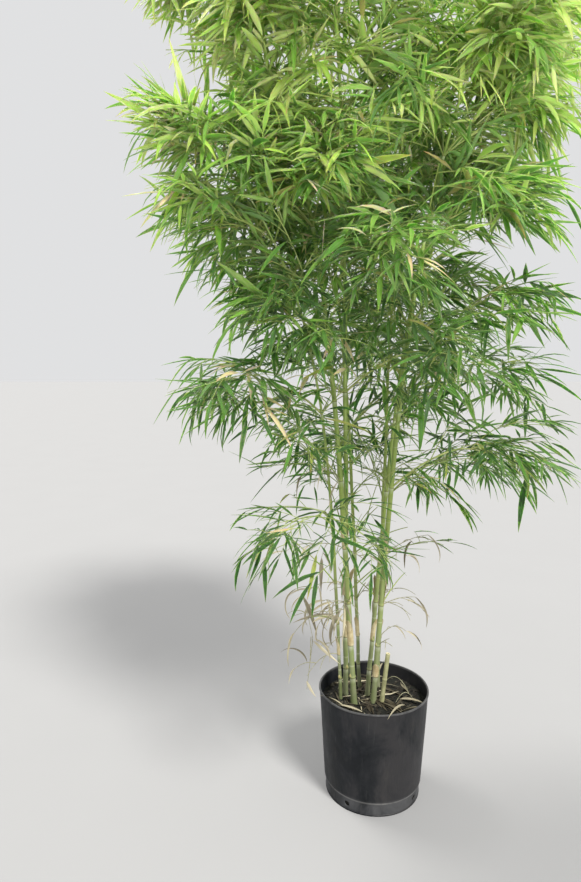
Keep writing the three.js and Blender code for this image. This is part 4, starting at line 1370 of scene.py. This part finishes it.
dead_heading, dead_length, dead_climb, dead_sag = map(np.array, values)
dead_start = np.array([cane_lines[name].point(joint_share(joint)) for name, joint in zip(names, joints)])
dead_run = dead_length * np.cos(np.radians(dead_climb))
dead_rise = dead_length * np.sin(np.radians(dead_climb))
dead = Lines(dead_start, heading_vector(dead_heading), dead_run, dead_rise, dead_sag * dead_length)

random = np.random.default_rng(77)
fork_share = np.array([0.4, 0.72])
fork_start = dead.at(fork_share).reshape(-1, 3)
fork_heading = heading_of(dead.toward(fork_share)).ravel() + np.tile([38, -42], len(DEAD_TWIGS))
fork_length = np.repeat(dead_length, 2) * random.uniform(0.35, 0.6, len(fork_start))
forks = Lines(fork_start, heading_vector(fork_heading), fork_length, fork_length * 0.2, fork_length * 0.5)
spent = gathered([dead, forks])
dead_share = np.linspace(0, 1, 12)
dead_grids = tubes(spent, dead_share, 0.0013 - 0.0007 * dead_share, 6)

# Broken twigs that stand in the mix or hang from others. Foot in mm, heading, run, rise and sag in mm.
loose = np.array([
    (36, 66, 268, -38, 85, 150, 150), (112, -12, 262, 200, 60, 120, 118), (-100, 30, 264, 60, 90, 90, 85),
    (-198, -58, 588, 12, 26, -126, 0), (-173, -53, 463, 190, 16, -143, 0), (-178, -55, 470, 250, 10, -80, 5),
])
fallen = Lines(loose[:, :3] * MM, heading_vector(loose[:, 3]), *(loose[:, 4:] * MM).T)
dead_grids = np.concatenate([dead_grids, tubes(fallen, dead_share, 0.0011 - 0.0004 * dead_share, 6)])

dead_wood = Finish("dead_twig", {"Specular IOR Level": 0.3, "Roughness": 0.8})
speck = dead_wood.noise(160, 4, 0.65)
tone = dead_wood.ramp(speck, (0.3, (124, 122, 96)), (0.55, (158, 156, 128)), (0.8, (190, 186, 160)))
dead_wood.wear(tone, None, [(speck, 0.0003)])
place("dead_twigs", skin(dead_grids), dead_wood, "dry_cane")

hang_share = np.array([0.55, 0.8, 1.0])
hang_root = spent.at(hang_share).reshape(-1, 3)
hang_count = len(hang_root)
hanging = random.random(hang_count) < np.interp(hang_root[:, 0], [-0.10, 0.02], [0.3, 0.2])
hang_length = random.uniform(0.06, 0.12, hang_count)
hang_heading = heading_of(spent.toward(hang_share)).ravel() + random.uniform(-70, 70, hang_count)
hang_ranges = [(-50, 0), (0.07, 0.13), (20, 120), (-60, 60), (-200, 200), (20, 60)]
hang_grids = dried(hang_root, hang_heading, hang_length, 11, *hang_ranges)[hanging]
hang_tone = random.uniform(0.62, 1, len(hang_grids))
# The largest of them, left of the clump: root in mm, then heading, pitch, length, width, droop, roll, twist,
# fold and tone.
largest = np.array([
    (-174, -61, 512, 0, 38, 0.112, 0.0120, 112, 80, 20, 25, 0.97),
    (-172, -62, 462, 4, -46, 0.100, 0.0100, -6, 110, -30, 30, 1.0),
    (-170, -60, 466, 0, -22, 0.088, 0.0080, 85, 60, 40, 35, 0.85),
    (-200, -58, 584, 12, -64, 0.122, 0.0130, 16, 80, 30, 25, 0.62),
    (-190, -58, 345, 8, -66, 0.056, 0.0085, -12, 80, 30, 25, 0.9),
    (-188, -60, 400, 180, 75, 0.095, 0.0060, 125, 70, 40, 35, 0.6),
])
large_grids = blades(largest[:, :3] * MM, *largest[:, 3:-1].T, rows=11)
hang_grids = np.concatenate([hang_grids, large_grids])
hang_tone = np.concatenate([hang_tone, largest[:, -1]])[:, None, None]
place("dry_hanging_leaves", skin(hang_grids, crease=70, tone=hang_tone), straw, "foliage")

# The studio
# A plain pale floor, soft light from the sky and from two sides, a wide lamp for the crown, and a camera that
# stands where the photograph was taken: chest high, close in front and a little to the left.

FLOOR_DROP = 0.0004  # under the pot
DAYLIGHT = (1.0, 0.98, 0.93)
CROWN_LAMP = (0.7, -2.2, 0.9)
CROWN_MIDDLE = (0, 0, 2.0)
CAMERA_PLACE = (-0.233, -1.69, 1.215)
CAMERA_PITCH = 7.5
FILM_WIDTH = 36
PHOTO_LONG_SIDE = 882
PHOTO_FOCAL = 640  # in the photograph's pixels

bpy.ops.mesh.primitive_plane_add(size=60, location=(0, 0, -FLOOR_DROP))
floor = bpy.context.object
floor.name = "floor"
pale = Finish("pale_floor", {"Roughness": 0.9})
grain = pale.noise(3, 3, 0.5)
pale.wear(pale.ramp(grain, (0.3, (154, 154, 155)), (0.7, (155, 155, 156))), None)
floor.data.materials.append(pale.material)

world = bpy.data.worlds.new("studio_sky")
bpy.context.scene.world = world
world.use_nodes = True
sky = world.node_tree.nodes["Background"].inputs
sky["Color"].default_value = (0.985, 0.99, 1.0, 1.0)
sky["Strength"].default_value = 0.76
bpy.context.scene.view_settings.view_transform = "Standard"


def lamp(name, kind, come_from, energy, colour, place=(0, 0, 0), **settings):
    """A lamp at its place, whose light comes from one direction."""
    light = bpy.data.lights.new(name, kind)
    light.energy = energy
    light.color = colour
    for setting, value in settings.items():
        setattr(light, setting, value)
    stand = bpy.data.objects.new(name, light)
    stand.location = place
    stand.rotation_euler = Vector(come_from).to_track_quat("Z", "Y").to_euler()
    bpy.context.scene.collection.objects.link(stand)


lamp("key", "SUN", (0.45, -0.76, 1.0), 4.1, DAYLIGHT, angle=math.radians(15))
lamp("back", "SUN", (-0.50, 0.36, 1.0), 1.8, DAYLIGHT, angle=math.radians(20))
crown_shape = dict(spot_size=math.radians(48), spot_blend=1.0, shadow_soft_size=0.4)
crown_way = Vector(CROWN_LAMP) - Vector(CROWN_MIDDLE)
lamp("crown_light", "SPOT", crown_way, 340, (1.0, 0.98, 0.92), CROWN_LAMP, **crown_shape)

camera = bpy.data.objects.new("camera", bpy.data.cameras.new("camera"))
camera.data.sensor_width = FILM_WIDTH
camera.data.lens = FILM_WIDTH * PHOTO_FOCAL / PHOTO_LONG_SIDE
camera.location = CAMERA_PLACE
camera.rotation_euler = (math.radians(90 - CAMERA_PITCH), 0, 0)
bpy.context.scene.collection.objects.link(camera)
bpy.context.scene.camera = camera
